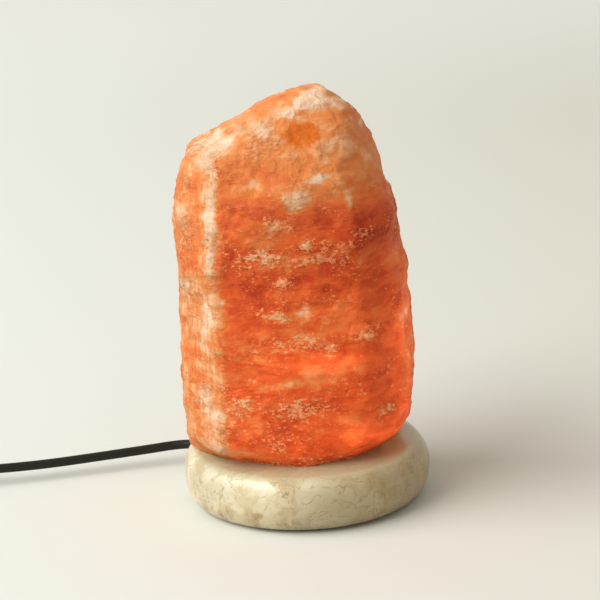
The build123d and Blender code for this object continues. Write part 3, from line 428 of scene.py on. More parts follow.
# marks on the side that the camera faces: place across and up, half width and half height, tilt in
# degrees, strength
crystalMarks = {
    "pale": [
        (10, 206, 7.5, 3.4, 20, 0.45), (1, 201, 13.0, 2.6, 8, 0.42), (17, 203, 8.1, 3.0, -30, 0.3),
        (-13, 195, 5.6, 3.4, 10, 0.28), (-28, 191, 8.1, 3.0, 20, 0.25), (28, 181, 7.1, 10.1, 0, -0.06),
        (-39, 177, 3.0, 10.1, 4, 0.45), (-34, 187, 6.0, 2.6, 24, 0.35), (-44, 182, 3.0, 5.1, 0, 0.25),
        (-18, 172, 3.6, 2.6, 0, 0.5), (-24, 168, 6.6, 4.1, 0, 0.38), (11, 172, 6.1, 2.0, 5, 0.5),
        (0, 163, 5.2, 6.4, -30, 0.48), (26, 160, 2.2, 5.4, 0, 0.5), (6, 142, 3.0, 2.0, 0, 0.4),
        (-10, 151, 5.1, 3.5, 0, 0.2), (-17, 137, 11.2, 2.5, -5, 0.3), (11, 134, 12.7, 2.0, 0, 0.15),
        (-41, 151, 2.5, 12.2, 0, 0.4), (-43, 135, 3.0, 6.1, 0, 0.45), (-54, 117, 2.0, 4.6, 0, 0.4),
        (-45, 106, 2.8, 9.1, 0, 0.32), (-47, 92, 2.0, 7.6, 0, 0.34), (-44, 85, 2.4, 9.1, 0, 0.2),
        (-36, 116, 2.0, 1.5, 0, 0.4), (2, 110, 3.0, 2.5, 0, 0.45), (-7, 124, 3.0, 4.1, 0, 0.25),
        (-11, 109, 6.6, 2.0, -10, 0.3), (2, 98, 5.6, 2.5, -15, 0.35), (14, 91, 3.0, 3.0, 0, 0.3),
        (32, 95, 3.0, 1.5, 10, 0.35), (20, 112, 4.6, 3.5, 0, 0.18), (51, 98, 2.5, 3.0, 0, 0.5),
        (53, 78, 3.0, 12.7, 0, 0.25), (-7, 74, 4.6, 2.5, 20, 0.25), (4, 79, 6.1, 3.5, 0, 0.15),
        (29, 79, 3.0, 3.0, 0, 0.2), (-47, 65, 2.8, 6.6, 0, 0.36), (-31, 63, 4.6, 4.1, 0, 0.3),
        (-40, 57, 4.1, 2.0, -20, 0.3), (40, 56, 3.0, 2.0, 0, 0.35), (8, 49, 1.5, 2.5, 0, 0.3),
        (-30, 39, 11.2, 3.0, -14, 0.3), (-5, 34, 4.1, 1.3, 0, 0.45), (-53, 153, 4.1, 13.2, 0, 0.2),
        (-15, 162, 11.2, 5.1, 0, -0.22), (36, 153, 11.2, 8.1, 0, -0.16), (17, 156, 20.3, 7.1, 0, -0.12),
        (25, 68, 17.2, 5.1, 0, -0.15), (-37, 81, 6.1, 2.5, 0, -0.12), (1, 128, 25.4, 3.0, 0, -0.1),
        (-19, 102, 15.2, 3.0, 0, -0.1), (-41, 150, 4.2, 34.0, 0, 0.12), (-44, 80, 4.6, 40.0, 0, 0.12),
        (-51, 110, 4.0, 60.0, 0, 0.08), (-58, 100, 4.0, 60.0, 0, 0.10), (10, 76, 14.0, 5.0, 10, 0.12),
        (-52, 68, 10.0, 42.0, 0, 0.10), (41, 55, 9.0, 7.0, 0, -0.06), (-36, 37, 16.0, 4.0, -14, 0.22),
    ],
    "glow": [
        (50, 110, 9.0, 70.0, 0, 0.9), (-8, 85, 16.2, 5.6, 0, 0.7), (16, 85, 12.2, 6.1, 0, 0.8),
        (28, 44, 13.2, 6.1, 20, 0.9), (43, 38, 8.0, 6.0, 0, 0.7), (0, 40, 26.0, 6.0, 0, 0.5),
        (41, 56, 9.0, 6.0, 0, -0.35), (49, 54, 2.5, 5.1, 0, 0.9), (20, 118, 22.8, 15.2, 0, 0.15),
        (-29, 46, 15.2, 7.1, -20, 0.3),
    ],
    "amber": [(5, 191, 9.0, 4.8, 0, 1.0), (-24, 167, 7.1, 4.1, 0, 0.4), (-10, 180, 20.3, 8.1, 0, 0.22)],
    "crust": [
        (-13, 196, 6.1, 3.5, 0, 1.0), (-19, 188, 7.1, 5.1, 0, 0.7), (-6, 188, 2.5, 2.0, 0, 1.0),
        (0, 181, 3.0, 3.0, 0, 1.0), (-38, 177, 4.6, 12.2, 0, 0.9), (-53, 170, 3.0, 4.1, 0, 0.9),
        (0, 163, 5.6, 6.1, -30, 1.0), (-7, 152, 8.1, 4.6, 0, 1.0), (-17, 137, 13.2, 4.1, -5, 1.0),
        (11, 134, 17.2, 3.0, 0, 0.8), (33, 145, 6.1, 3.0, -10, 0.9), (6, 142, 4.1, 3.0, 0, 1.0),
        (-53, 142, 4.6, 13.2, 0, 0.8), (-42, 145, 3.5, 12.2, 0, 0.8), (-7, 124, 6.1, 5.1, 0, 0.9),
        (-22, 130, 10.1, 3.0, 0, 0.6), (-54, 117, 3.0, 6.1, 0, 0.9), (-11, 109, 8.1, 3.0, -10, 1.0),
        (2, 96, 7.6, 4.1, -15, 1.0), (14, 91, 5.1, 4.1, 0, 0.9), (33, 96, 6.1, 4.1, 0, 0.8),
        (-10, 93, 6.1, 3.0, 0, 0.7), (-47, 65, 4.6, 6.1, 0, 1.0), (-32, 63, 7.1, 5.1, -10, 1.0),
        (-7, 61, 15.2, 5.6, 0, 1.0), (40, 56, 4.6, 3.0, 0, 1.0), (-10, 47, 17.2, 8.1, 0, 0.6),
        (-39, 50, 7.1, 5.1, -20, 0.5), (-3, 34, 7.1, 1.5, 0, 0.9), (21, 141, 15.2, 3.0, 0, 0.5),
        (29, 181, 9.0, 11.0, 0, -0.9), (5, 191, 9.0, 4.8, 0, -0.8),
    ],
    "stain": [(15, 173, 1.5, 1.0, -30, 1.0), (20, 168, 1.0, 0.8, 0, 0.6)],
}

print("salt lamp: shaping the crystal")
angles, outside = crystalPoints(crystalSettings)


def bendOutward(points, step):
    # how sharply the form bends outward round the plan: the gap between each point and the middle of
    # its neighbours a few steps off, over the square of their distance
    ahead, behind = np.roll(points, -step, axis=0), np.roll(points, step, axis=0)
    gap = ((points - (ahead + behind) / 2) * gridNormals(points)).sum(axis=2)
    reach = np.linalg.norm(ahead - behind, axis=2) / 2
    return gap / np.maximum(reach, 1.0) ** 2


def markStrength(points, marks, wander):
    # sum of flat-topped ovals that fade by a high power of the distance, their edges broken by noise
    across, up = points[..., 0] + wander[0], points[..., 2] + wander[1]
    total = np.zeros(points.shape[:2])
    for x, z, halfWidth, halfHeight, tilt, strength in marks:
        turn = np.radians(tilt)
        u = ((across - x) * np.cos(turn) + (up - z) * np.sin(turn)) / halfWidth
        v = ((up - z) * np.cos(turn) - (across - x) * np.sin(turn)) / halfHeight
        total += strength * np.exp(-((u * u + v * v) ** 1.2))
    return total


def alongBeds(points, s):
    # the same places, with heights counted along the salt's slanting beds
    acrossSlant, alongSlant = s["slant"]
    rise = points[..., :1] * acrossSlant + points[..., 1:2] * alongSlant
    return points + np.array([0.0, 0.0, 1.0]) * rise


def crystalLooks(points, s, marks):
    # fields that the salt's material reads, each made of slow noise everywhere and, on the side that
    # the camera faces, of the marks; elsewhere noise of the same grain stands in for them
    facing = ease(0.0, 0.35, -gridNormals(points)[..., 1])
    away = 1 - facing
    beds = alongBeds(points, s)
    wander = (
        latticeNoise(points, (5, 5, 5), 71) * 1.8 + latticeNoise(points, (2.2, 2.2, 2.2), 72) * 0.8,
        latticeNoise(points, (5, 5, 4), 73) * 1.5 + latticeNoise(points, (2.2, 2.2, 2), 74) * 0.7,
    )
    fields = {name: markStrength(points, spots, wander) * facing for name, spots in marks.items()}
    ridge = ease(0.010, 0.045, bendOutward(points, 7))
    ridge = ridge * np.maximum(away, ease(-25, -36, points[..., 0]))
    drift = [latticeNoise(points, (15, 15, 13), seed) for seed in (83, 84, 85)]
    drifted = beds + np.stack(drift, axis=2) * 8
    cloudy = latticeNoise(drifted, (12, 12, 6), 75) + 0.6 * latticeNoise(drifted, (4.5, 4.5, 2.6), 86)
    patches = ease(0.15, 0.75, cloudy)
    fields["pale"] += (
        latticeNoise(points, (24, 24, 17), 76) * 0.10
        + latticeNoise(drifted, (8, 8, 4.5), 77) * 0.09
        + patches * (0.10 + 0.28 * away)
        + ridge * (0.10 + 0.20 * away)
    )
    crusty = ease(-0.1, 0.45, latticeNoise(beds, (13, 13, 4.5), 78))
    fields["crust"] += crusty * (0.40 + 0.45 * away) + ridge * 0.3
    # a pale, crusty edge round the foot
    height = points[..., 2] + latticeNoise(points, (4, 4, 9), 81) * 1.2
    edge = ease(s["baseTop"] + 3.2, s["baseTop"] + 0.6, height)
    fields["pale"] += edge * ease(-0.25, 0.4, latticeNoise(points, (9, 9, 30), 82)) * 0.42
    fields["crust"] += edge * 0.6
    clear = ease(-0.1, 0.6, latticeNoise(points, (22, 22, 13), 79))
    fields["glow"] += clear * (0.15 + 0.6 * away)
    fields["amber"] += ease(0.3, 0.7, latticeNoise(points, (18, 18, 14), 80)) * 0.5 * away
    return fields


crystalFields = crystalLooks(outside, crystalSettings, crystalMarks)


def carveCrystal(points, crust, s):
    # broken faces of three sizes, low ledges along the beds, and grain where the crust is, all pushed
    # along the surface's own direction, half as far at the foot, which stays flat; the faces also
    # give back a tone each
    def faces(name, places):
        size, height, seed = s["relief"][name]
        heights, tone = chips(places, size, seed)
        return heights * height, tone

    def bumps(name, places):
        size, height, seed = s["relief"][name]
        return latticeNoise(places, size, seed) * height

    lean = alongBeds(points, s)
    wave = bumps("faceBend", points)[..., None]
    broad, broadTone = faces("broadFaces", points + wave)
    middle, middleTone = faces("middleFaces", points + 3 * wave)
    small, smallTone = faces("smallFaces", points)
    broad = broad + bumps("dents", points)
    beds = bumps("ledges", lean) + bumps("slowWaves", lean)
    grain = bumps("fineGrain", points) + bumps("coarseGrain", points)
    rough = np.clip(crust, 0, 1.2)
    push = broad + middle + small * (0.45 + rough) + beds + grain * (0.12 + rough)
    steady = ease(s["baseTop"], s["baseTop"] + 4.0, points[..., 2])
    moved = points + gridNormals(points) * (push * (0.5 + 0.5 * steady))[..., None]
    moved[..., 2] = np.maximum(moved[..., 2], s["baseTop"])
    moved[:, 0, 2] = s["baseTop"]
    return moved, broadTone * 0.9 + middleTone * 0.75 + smallTone * 0.35 * rough


outside, crystalFields["facet"] = carveCrystal(outside, crystalFields["crust"], crystalSettings)


def crystalPiece(s, angles, outside, fields):
    # one grid: from a small ring at the bore's tip down its cone and straight wall, out across the
    # flat foot, then up the carved outside to the peak; noise roughens the bore a little, outwards
    outward = spokes(angles)
    ring = s["boreRadius"] * outward + np.array([0, 0, s["baseTop"]])
    x, y = ring[:, :1], ring[:, 1:2]
    shares = np.linspace(0.06, 1, s["coneRows"] + 1)[:-1]
    cone = gridOf(x * shares, y * shares, s["tipTop"] + (s["boreTop"] - s["tipTop"]) * shares)
    down = np.linspace(0, 1, s["boreRows"] + 1)[:-1]
    wall = gridOf(x, y, s["boreTop"] + (s["baseTop"] - s["boreTop"]) * down)
    under = np.linspace(0, 1, s["footRows"] + 1)[:-1, None]
    foot = ring[:, None] * (1 - under) + outside[:, :1] * under
    points = np.concatenate([cone, wall, foot, outside], axis=1)
    bored = cone.shape[1] + wall.shape[1]
    drilled = np.abs(latticeNoise(points[:, :bored], (6, 6, 1.6), 51) * s["drillMarks"])
    points[:, :bored] += outward[:, None] * drilled[..., None]
    peak = points[:, -1].mean(axis=0) + np.array([0, 0, s["peakRise"]])
    poles = np.array([[0, 0, s["tipTop"]], peak])
    piece = gridMesh("salt_crystal_block", points * mm, caps=poles * mm)
    inner = bored + foot.shape[1]
    for name, values in fields.items():
        whole = np.zeros(points.shape[:2])
        whole[:, inner:] = values
        paintAttribute(piece, name, np.append(whole.ravel(), [0, 0]))
    return piece


crystal = crystalPiece(crystalSettings, angles, outside, crystalFields)
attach(crystal, "crystal")
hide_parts("salt_crystal")
print("salt lamp: crystal has", len(crystal.data.polygons), "faces")


# marble base, in millimetres
marbleSettings = {
    # the grid: columns round the axis, rows round the rim, over the hole's edge, on each flat and
    # down the hole's wall
    "around": 360,
    "rimRows": 61,
    "edgeRows": 7,
    "flatRows": 18,
    "wallRows": 14,
    "radius": 62.0,
    "bottom": 1.5,
    "top": 28.5,
    "rim": 8.5,
    "rimPower": 0.92,
    "holeRadius": 23.0,
    "holeEdge": 1.0,
    "unevenness": 0.5,
}


def marblePiece(s):
    # the outline of a half section, a fuller than round rim between two flats and the hole's wall,
    # carried round the axis and pushed in and out a little by slow noise
    middle, half = (s["top"] + s["bottom"]) / 2, (s["top"] - s["bottom"]) / 2
    flat = s["radius"] - s["rim"]
    turn = np.linspace(-np.pi / 2, np.pi / 2, s["rimRows"])
    rimR = flat + s["rim"] * np.abs(np.cos(turn)) ** s["rimPower"]
    rimZ = middle + half * np.sign(np.sin(turn)) * np.abs(np.sin(turn)) ** s["rimPower"]
    edge = np.linspace(0, np.pi / 2, s["edgeRows"])
    edgeR = s["holeRadius"] + s["holeEdge"] * (1 - np.sin(edge))
    edgeZ = s["top"] - s["holeEdge"] * (1 - np.cos(edge))
    bottomR = np.linspace(s["holeRadius"], flat, s["flatRows"])[:-1]
    topR = np.linspace(flat, edgeR[0], s["flatRows"])[1:-1]
    wallZ = np.linspace(edgeZ[-1], s["bottom"], s["wallRows"])[1:-1]
    radii = np.concatenate([bottomR, rimR, topR, edgeR, np.full(len(wallZ), s["holeRadius"])])
    heights = np.concatenate(
        [np.full(len(bottomR), s["bottom"]), rimZ, np.full(len(topR), s["top"]), edgeZ, wallZ]
    )
    angles = np.linspace(0, 2 * np.pi, s["around"], endpoint=False)
    points = gridOf(np.cos(angles)[:, None] * radii, np.sin(angles)[:, None] * radii, heights)
    outerShare = ease(flat - 6, s["radius"], radii)
    slow = latticeNoise(points, (30, 30, 16), 61) + 0.5 * latticeNoise(points, (13, 13, 10), 62)
    push = (slow - 0.6) * s["unevenness"] * outerShare
    points = points + spokes(angles)[:, None] * push[..., None]
    return gridMesh("marble_base_stone", points * mm, closeAlong=True)


marble = marblePiece(marbleSettings)
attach(marble, "base")
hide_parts("marble_base")
print("salt lamp: marble base made")


class Shader:
    # one material and its nodes; each call adds a node and gives back an output socket

    def __init__(self, name):
        self.material = bpy.data.materials.new(name)
        self.material.use_nodes = True
        self.tree = self.material.node_tree
        self.surface = self.tree.nodes["Principled BSDF"]
        self.coords = self.tree.nodes.new("ShaderNodeTexCoord").outputs["Object"]

    def put(self, target, name, value):
        if hasattr(value, "is_output"):
            self.tree.links.new(value, target.inputs[name])
        else:
            target.inputs[name].default_value = value

    def node(self, kind, output, settings=None, **inputs):
        # an input goes by its name, with _ for a space, or by its number, as in _0
        made = self.tree.nodes.new(kind)
        for key, value in (settings or {}).items():
            setattr(made, key, value)
        for key, value in inputs.items():
            self.put(made, int(key[1:]) if key.startswith("_") else key.replace("_", " "), value)
        return made.outputs[output]

    def along(self, axis):
        # how far along one axis a point of the piece is, in metres
        return self.node("ShaderNodeSeparateXYZ", axis, Vector=self.coords)

    def mapping(self, scale, turn=(0, 0, 0), shift=(0, 0, 0), vector=None):
        return self.node(
            "ShaderNodeMapping", "Vector", Vector=self.coords if vector is None else vector,
            Scale=scale, Rotation=turn, Location=shift,
        )

    def noise(self, scale, detail, roughness, distortion=0.0, output="Fac", **mapping):
        return self.node(
            "ShaderNodeTexNoise", output, Vector=self.mapping(scale, **mapping), Scale=1.0,
            Detail=detail, Roughness=roughness, Distortion=distortion,
        )

    def cells(self, vector, feature="F1", output="Distance"):
        return self.node(
            "ShaderNodeTexVoronoi", output, {"feature": feature}, Vector=vector, Scale=1.0
        )

    def ramp(self, factor, stops):
        made = self.tree.nodes.new("ShaderNodeValToRGB")
        elements = made.color_ramp.elements
        while len(elements) < len(stops):
            elements.new(0.5)
        for element, (at, colour) in zip(elements, stops):
            element.position = at
        for element, (at, colour) in zip(elements, stops):
            element.color = (*colour, 1)
        self.put(made, "Fac", factor)
        return made.outputs["Color"]

    def math(self, operation, first, second=0.5, third=0.5, clamp=False):
        made = self.tree.nodes.new("ShaderNodeMath")
        made.operation = operation
        made.use_clamp = clamp
        self.put(made, 0, first)
        self.put(made, 1, second)
        if len(made.inputs) > 2:
            self.put(made, 2, third)
        return made.outputs[0]

    def times(self, first, second, clamp=False):
        return self.math("MULTIPLY", first, second, clamp=clamp)

    def timesPlus(self, first, second, third):
        return self.math("MULTIPLY_ADD", first, second, third)

    def sway(self, value, noise, amount):
        # the value, raised or lowered by how far the noise is from its middle
        return self.timesPlus(self.math("SUBTRACT", noise, 0.5), amount, value)

    def stretch(self, value, low, high, toLow=0.0, toHigh=1.0):
        # an s-curve that carries one range of values to another
        return self.node(
            "ShaderNodeMapRange", "Result", {"interpolation_type": "SMOOTHSTEP"}, _0=value,
            _1=low, _2=high, _3=toLow, _4=toHigh,
        )

    def mix(self, factor, first, second):
        made = self.tree.nodes.new("ShaderNodeMix")
        made.data_type = "RGBA"
        self.put(made, 0, factor)
        for at, colour in ((6, first), (7, second)):
            self.put(made, at, (*colour, 1) if isinstance(colour, tuple) else colour)
        return made.outputs[2]

    def bump(self, height, strength, distance, normal=None):
        made = self.tree.nodes.new("ShaderNodeBump")
        self.put(made, "Height", height)
        self.put(made, "Strength", strength)
        self.put(made, "Distance", distance)
        if normal is not None:
            self.put(made, "Normal", normal)
        return made.outputs["Normal"]

    def finish(self, **inputs):
        for key, value in inputs.items():
            if isinstance(value, tuple) and "Radius" not in key:
                value = (*value, 1)
            self.put(self.surface, key.replace("_", " "), value)
        return self.material


def setMaterial(piece, material):
    if piece.data.materials:
        for at in range(len(piece.data.materials)):
            piece.data.materials[at] = material
    else:
        piece.data.materials.append(material)


saltSettings = {
    # from the clearest salt to the palest
    "tones": [
        (0.0, (0.48, 0.030, 0.006)),
        (0.2, (0.68, 0.078, 0.014)),
        (0.40, (0.83, 0.142, 0.027)),
        (0.62, (0.85, 0.285, 0.082)),
        (0.82, (0.93, 0.53, 0.29)),
        (1.0, (1.0, 0.74, 0.54)),
    ],
    "golden": (0.82, 0.315, 0.090),
    "amber": (0.74, 0.170, 0.012),
    # painted shade: the deep red put in the gaps between the crumbs
    "gap": (0.68, 0.078, 0.014),
    "salmonCrumb": (0.97, 0.34, 0.14),
    "creamCrumb": (0.97, 0.58, 0.33),
    "stain": (0.16, 0.15, 0.16),
    # crumbs: the level that the noise has to top, and how much of their colour shows
    "crumbLevel": 0.674,
    "crumbStrength": 0.88,
    "roughness": (0.40, 0.72),
    # relief finer than the mesh: strength, and depth in metres, of blobs, lace and crumbs
    "bumps": [(0.50, 0.0040), (0.70, 0.0025), (0.45, 0.0010)],
    # the bulb's place, in metres, and its light through clear salt and through crumbs
    "bulb": (0.010, -0.004, 0.050),
    "glow": 0.55,
    "glowColour": (1.0, 0.120, 0.022),
    "crumbGlow": (1.0, 0.40, 0.17),
}


def saltMaterial(s):
    salt = Shader("salt")
    x, z = salt.along("X"), salt.along("Z")
    fields = {
        name: salt.node("ShaderNodeAttribute", "Fac", {"attribute_name": name})
        for name in ("pale", "glow", "amber", "crust", "stain", "facet")
    }
    blobs = salt.noise((150, 150, 230), 6, 0.62, 0.6, shift=(5, 2, 1))
    beds = salt.noise((28, 28, 330), 5, 0.62, 0.6, turn=(0.04, -0.05, 0))
    pools = salt.noise((48, 48, 150), 5, 0.55, 0.5, turn=(0.03, -0.04, 0), shift=(2, 0, 5))
    lace = salt.noise((340, 340, 520), 5, 0.74, 0.5, shift=(0, 6, 0))
    sugar = salt.noise((520, 520, 900), 3, 0.68, 0.8, turn=(0.04, -0.05, 0), shift=(1, 0, 3))
    upright = salt.noise((430, 430, 130), 5, 0.68, 0.4)
    left = salt.stretch(x, -0.033, -0.043)
    # how pale: the painted field, paler to the top and the left, deeper in clear pools with a crisp
    # edge, broken by noise of several sizes, more so where the crust is; the paler top is partly the
    # salt's own colour, partly painted light where the top faces up to the lamp
    pale = salt.math("ADD", fields["pale"], salt.stretch(z, 0.135, 0.205, 0.36, 0.66))
    pale = salt.timesPlus(left, 0.14, pale)
    pale = salt.timesPlus(fields["facet"], 0.15, pale)
    pale = salt.math("ADD", pale, salt.stretch(pools, 0.50, 0.56, 0.0, -0.12))
    broken = salt.timesPlus(fields["crust"], 0.65, 0.15)
    for noise, amount in (
        (blobs, 0.36),
        (beds, 0.26),
        (lace, broken),
        (upright, salt.times(left, 0.9)),
        (sugar, salt.times(broken, 0.7)),
    ):
        pale = salt.sway(pale, noise, amount)
    colour = salt.ramp(pale, s["tones"])
    # the top and the left side more golden: the left side in its own colour, the top partly painted
    # light where it faces up to the lamp
    golden = salt.stretch(z, 0.145, 0.178, 0, 0.42)
    golden = salt.math("MAXIMUM", golden, salt.times(left, 0.30))
    golden = salt.times(golden, salt.stretch(pale, 0.62, 0.90, 1.0, 0.25))
    colour = salt.mix(golden, colour, s["golden"])
    amber = salt.sway(fields["amber"], lace, 0.5)
    colour = salt.mix(salt.stretch(amber, 0.15, 0.55), colour, s["amber"])
    # crumbs: where the sum of a fine and a lacy noise tops a level that the crust lowers, salmon to
    # cream by a slower noise, with painted shade in the deep gaps between them
    mixed = salt.timesPlus(sugar, 0.62, salt.times(lace, 0.50))
    level = salt.timesPlus(fields["crust"], -0.125, s["crumbLevel"])
    crumbs = salt.stretch(salt.math("SUBTRACT", mixed, level), 0.0, 0.035)
    crusty = salt.times(fields["crust"], 0.7, clamp=True)
    gapShade = salt.times(salt.stretch(mixed, 0.50, 0.42), crusty)
    colour = salt.mix(gapShade, colour, s["gap"])
    creamy = salt.stretch(salt.math("ADD", blobs, fields["pale"]), 0.45, 0.95)
    crumbColour = salt.mix(creamy, s["salmonCrumb"], s["creamCrumb"])
    colour = salt.mix(salt.times(crumbs, s["crumbStrength"]), colour, crumbColour)
    stained = salt.times(fields["stain"], 0.7, clamp=True)
    colour = salt.mix(stained, colour, s["stain"])
    # light of the bulb through the salt: near the bulb, and where the painted field says it is clear,
    # less at the foot, on the left side and in crumbs
    fromBulb = salt.node(
        "ShaderNodeVectorMath", "Value", {"operation": "DISTANCE"}, _0=salt.coords, _1=s["bulb"]
    )
    glow = salt.stretch(fromBulb, 0.105, 0.036, 0.12, 0.75)
    for share in (
        salt.timesPlus(fields["glow"], 0.95, 0.45),
        salt.stretch(z, 0.029, 0.040, 0.30, 1.0),
        salt.stretch(blobs, 0.30, 0.70, 0.75, 1.2),
        salt.timesPlus(fields["facet"], 0.55, 1.0),
        salt.math("SUBTRACT", 1.0, salt.times(crumbs, 0.25)),
        salt.math("SUBTRACT", 1.0, salt.times(left, 0.85)),
    ):
        glow = salt.times(glow, share)
    # crumbs, and the rest of the salt a little, scatter some of that light in a paler colour
    scattered = salt.timesPlus(crumbs, 0.15, 0.02)
    scattered = salt.times(scattered, salt.stretch(fromBulb, 0.16, 0.05, 0.5, 1.0))
    scattered = salt.times(scattered, salt.timesPlus(left, -0.75, 1.0))
    glowColour = salt.mix(salt.times(crumbs, 0.9), s["glowColour"], s["crumbGlow"])
    # soft blobs everywhere, then lace and crumbs where the crust is
    blobBump, laceBump, crumbBump = s["bumps"]
    crumbly = salt.timesPlus(crumbs, 0.7, salt.times(sugar, broken))
    bumps = salt.bump(blobs, *blobBump)
    bumps = salt.bump(salt.times(lace, broken), *laceBump, bumps)
    bumps = salt.bump(crumbly, *crumbBump, bumps)
    dryness = salt.timesPlus(fields["crust"], 0.25, lace)
    return salt.finish(
        Base_Color=colour,
        Roughness=salt.stretch(dryness, 0.35, 0.8, *s["roughness"]),
        IOR=1.5,
        Specular_IOR_Level=0.22,
        Subsurface_Weight=0.20,
        Subsurface_Radius=(1.0, 0.25, 0.08),
        Subsurface_Scale=0.006,
        Normal=bumps,
        Emission_Color=glowColour,
        Emission_Strength=salt.timesPlus(glow, s["glow"], scattered),
    )


marbleFinish = {
    # from the darkest stone to the palest
    "tones": [
        (0.0, (0.42, 0.28, 0.12)),
        (0.25, (0.62, 0.48, 0.26)),
        (0.48, (0.83, 0.72, 0.47)),
        (0.70, (0.93, 0.86, 0.63)),
        (1.0, (0.96, 0.92, 0.78)),
    ],
    "seam": (0.40, 0.27, 0.12),
    "stroke": (0.56, 0.43, 0.21),
    "grey": (0.50, 0.45, 0.29),
    # painted shade for the right side of the stone, away from the lamp
    "right": (0.42, 0.290, 0.115),
    "top": (0.52, 0.58, 0.36),
    "roughness": (0.28, 0.38),
    "polish": 0.35,
    # veins, one set wide and soft and one hair thin: how close, how wide, how strong, their colour,
    # and how far their pattern is shifted
    "veins": [
        ((30, 30, 17), 0.020, 0.72, (0.52, 0.35, 0.15), 0.0),
        ((46, 46, 30), 0.0070, 0.75, (0.32, 0.235, 0.12), 9.0),
    ],
}


def marbleMaterial(s):
    stone = Shader("marble")
    warp = stone.noise((55, 55, 55), 4, 0.6, output="Color")
    warped = stone.node(
        "ShaderNodeVectorMath", "Vector", {"operation": "MULTIPLY_ADD"},
        _0=warp, _1=(0.022, 0.022, 0.022), _2=stone.coords,
    )
    shardMap = stone.mapping((60, 150, 95), (0.5, 0.4, 0.7), vector=warped)
    otherMap = stone.mapping((190, 80, 120), (-0.6, 0.9, -0.5), vector=warped)
    strokeMap = stone.mapping((70, 330, 150), (0.9, -0.3, 0.5), vector=warped)
    shardCells = stone.cells(shardMap, output="Color")
    otherCells = stone.cells(otherMap, "SMOOTH_F1", "Color")
    shards = stone.node("ShaderNodeSeparateColor", "Red", Color=shardCells)
    others = stone.node("ShaderNodeSeparateColor", "Green", Color=otherCells)
    edges = stone.cells(shardMap, "DISTANCE_TO_EDGE")
    broad = stone.noise((30, 30, 38), 4, 0.6, 0.5)
    swirl = stone.noise((90, 260, 160), 4, 0.6, 0.8, turn=(0.4, 0.8, 0.3), vector=warped)
    # tone: shards of two kinds, drawn-out swirls and a broad drift, added up
    tone = stone.timesPlus(shards, 0.24, stone.times(others, 0.34))
    tone = stone.timesPlus(swirl, 0.55, tone)
    tone = stone.timesPlus(broad, 0.60, stone.math("SUBTRACT", tone, 0.36))
    colour = stone.ramp(tone, s["tones"])
    # thin seams where the shards meet, here and there only
    patchy = stone.noise((45, 45, 45), 3, 0.6, shift=(7, 0, 2))
    patchy = stone.stretch(patchy, 0.42, 0.56)
    ticks = stone.noise((210, 210, 260), 2, 0.5, shift=(4, 4, 0))
    ticks = stone.stretch(ticks, 0.46, 0.56)
    seams = stone.stretch(edges, 0.0, 0.055, 0.85, 0)
    seams = stone.times(seams, stone.times(patchy, ticks))
    colour = stone.mix(seams, colour, s["seam"])
    # short strokes: the inner part of scattered cells, drawn out one way
    strokes = stone.stretch(stone.cells(strokeMap), 0.14, 0.30, 0.8, 0)
    strokes = stone.times(strokes, stone.stretch(broad, 0.36, 0.50))
    colour = stone.mix(strokes, colour, s["stroke"])
    # veins: the narrow band where a slow noise crosses its middle value
    for scale, width, strength, tint, shift in s["veins"]:
        vein = stone.noise(scale, 3, 0.5, 1.2, turn=(0.3, 0.2, 0), shift=(shift, 0, 0))
        vein = stone.math("ABSOLUTE", stone.math("SUBTRACT", vein, 0.5))
        vein = stone.stretch(vein, 0.0, width, strength, 0)
        vein = stone.times(vein, stone.timesPlus(ticks, 0.75, 0.25))
        colour = stone.mix(vein, colour, tint)
    grey = stone.noise((22, 22, 26), 3, 0.5, shift=(3, 1, 0))
    colour = stone.mix(stone.stretch(grey, 0.50, 0.68, 0, 0.4), colour, s["grey"])
    # painted shade: browner and darker towards the right, the side turned away from the lamp; greener
    # on the flat top
    colour = stone.mix(stone.stretch(stone.along("X"), -0.018, 0.056, 0, 0.76), colour, s["right"])
    colour = stone.mix(stone.stretch(stone.along("Z"), 0.0262, 0.0284, 0, 0.6), colour, s["top"])
    fine = stone.noise((700, 700, 700), 2, 0.5)
    return stone.finish(
        Base_Color=colour,
        Roughness=stone.stretch(fine, 0.3, 0.7, *s["roughness"]),
        IOR=1.5,
        Coat_Weight=s["polish"],
        Coat_Roughness=0.20,
        Normal=stone.bump(stone.timesPlus(swirl, 0.35, broad), 0.22, 0.003),
        Subsurface_Weight=0.06,
        Subsurface_Radius=(1.0, 0.85, 0.6),
        Subsurface_Scale=0.003,
    )


# moulded pieces: colour, roughness, the grain's fineness and strength, change of tone, gloss coat
plasticSettings = {
    "blackPlastic": ((0.020, 0.020, 0.020), 0.34, 1600, 0.10, 0.10, 0.0),
    "blackRubber": ((0.024, 0.023, 0.021), 0.62, 900, 0.16, 0.10, 0.0),
    "pinSleeve": ((0.018, 0.018, 0.019), 0.42, 1500, 0.05, 0.10, 0.0),
    "holderPlastic": ((0.80, 0.77, 0.69), 0.45, 1200, 0.10, 0.05, 0.0),
    "ceramicBlock": ((0.82, 0.79, 0.72), 0.55, 800, 0.15, 0.06, 0.0),
    "clampPlastic": ((0.10, 0.10, 0.11), 0.5, 1100, 0.12, 0.10, 0.0),
    "brownCore": ((0.20, 0.085, 0.035), 0.4, 1500, 0.06, 0.10, 0.0),
    "darkGlass": ((0.012, 0.012, 0.018), 0.10, 500, 0.02, 0.10, 0.6),
}
# metals: colour, roughness, how fine the drawn lines are across, along and up
metalSettings = {
    "brass": ((0.72, 0.53, 0.24), 0.34, (900, 900, 120)),
    "plated": ((0.70, 0.69, 0.66), 0.22, (300, 300, 1400)),
    "steel": ((0.56, 0.56, 0.57), 0.32, (900, 900, 120)),
}
# wires in the bulb: colour, strength of the light they give
wireSettings = {
    "leadWire": ((0.45, 0.43, 0.42), 0.0),
    "hotWire": ((0.9, 0.7, 0.5), 14.0),
}
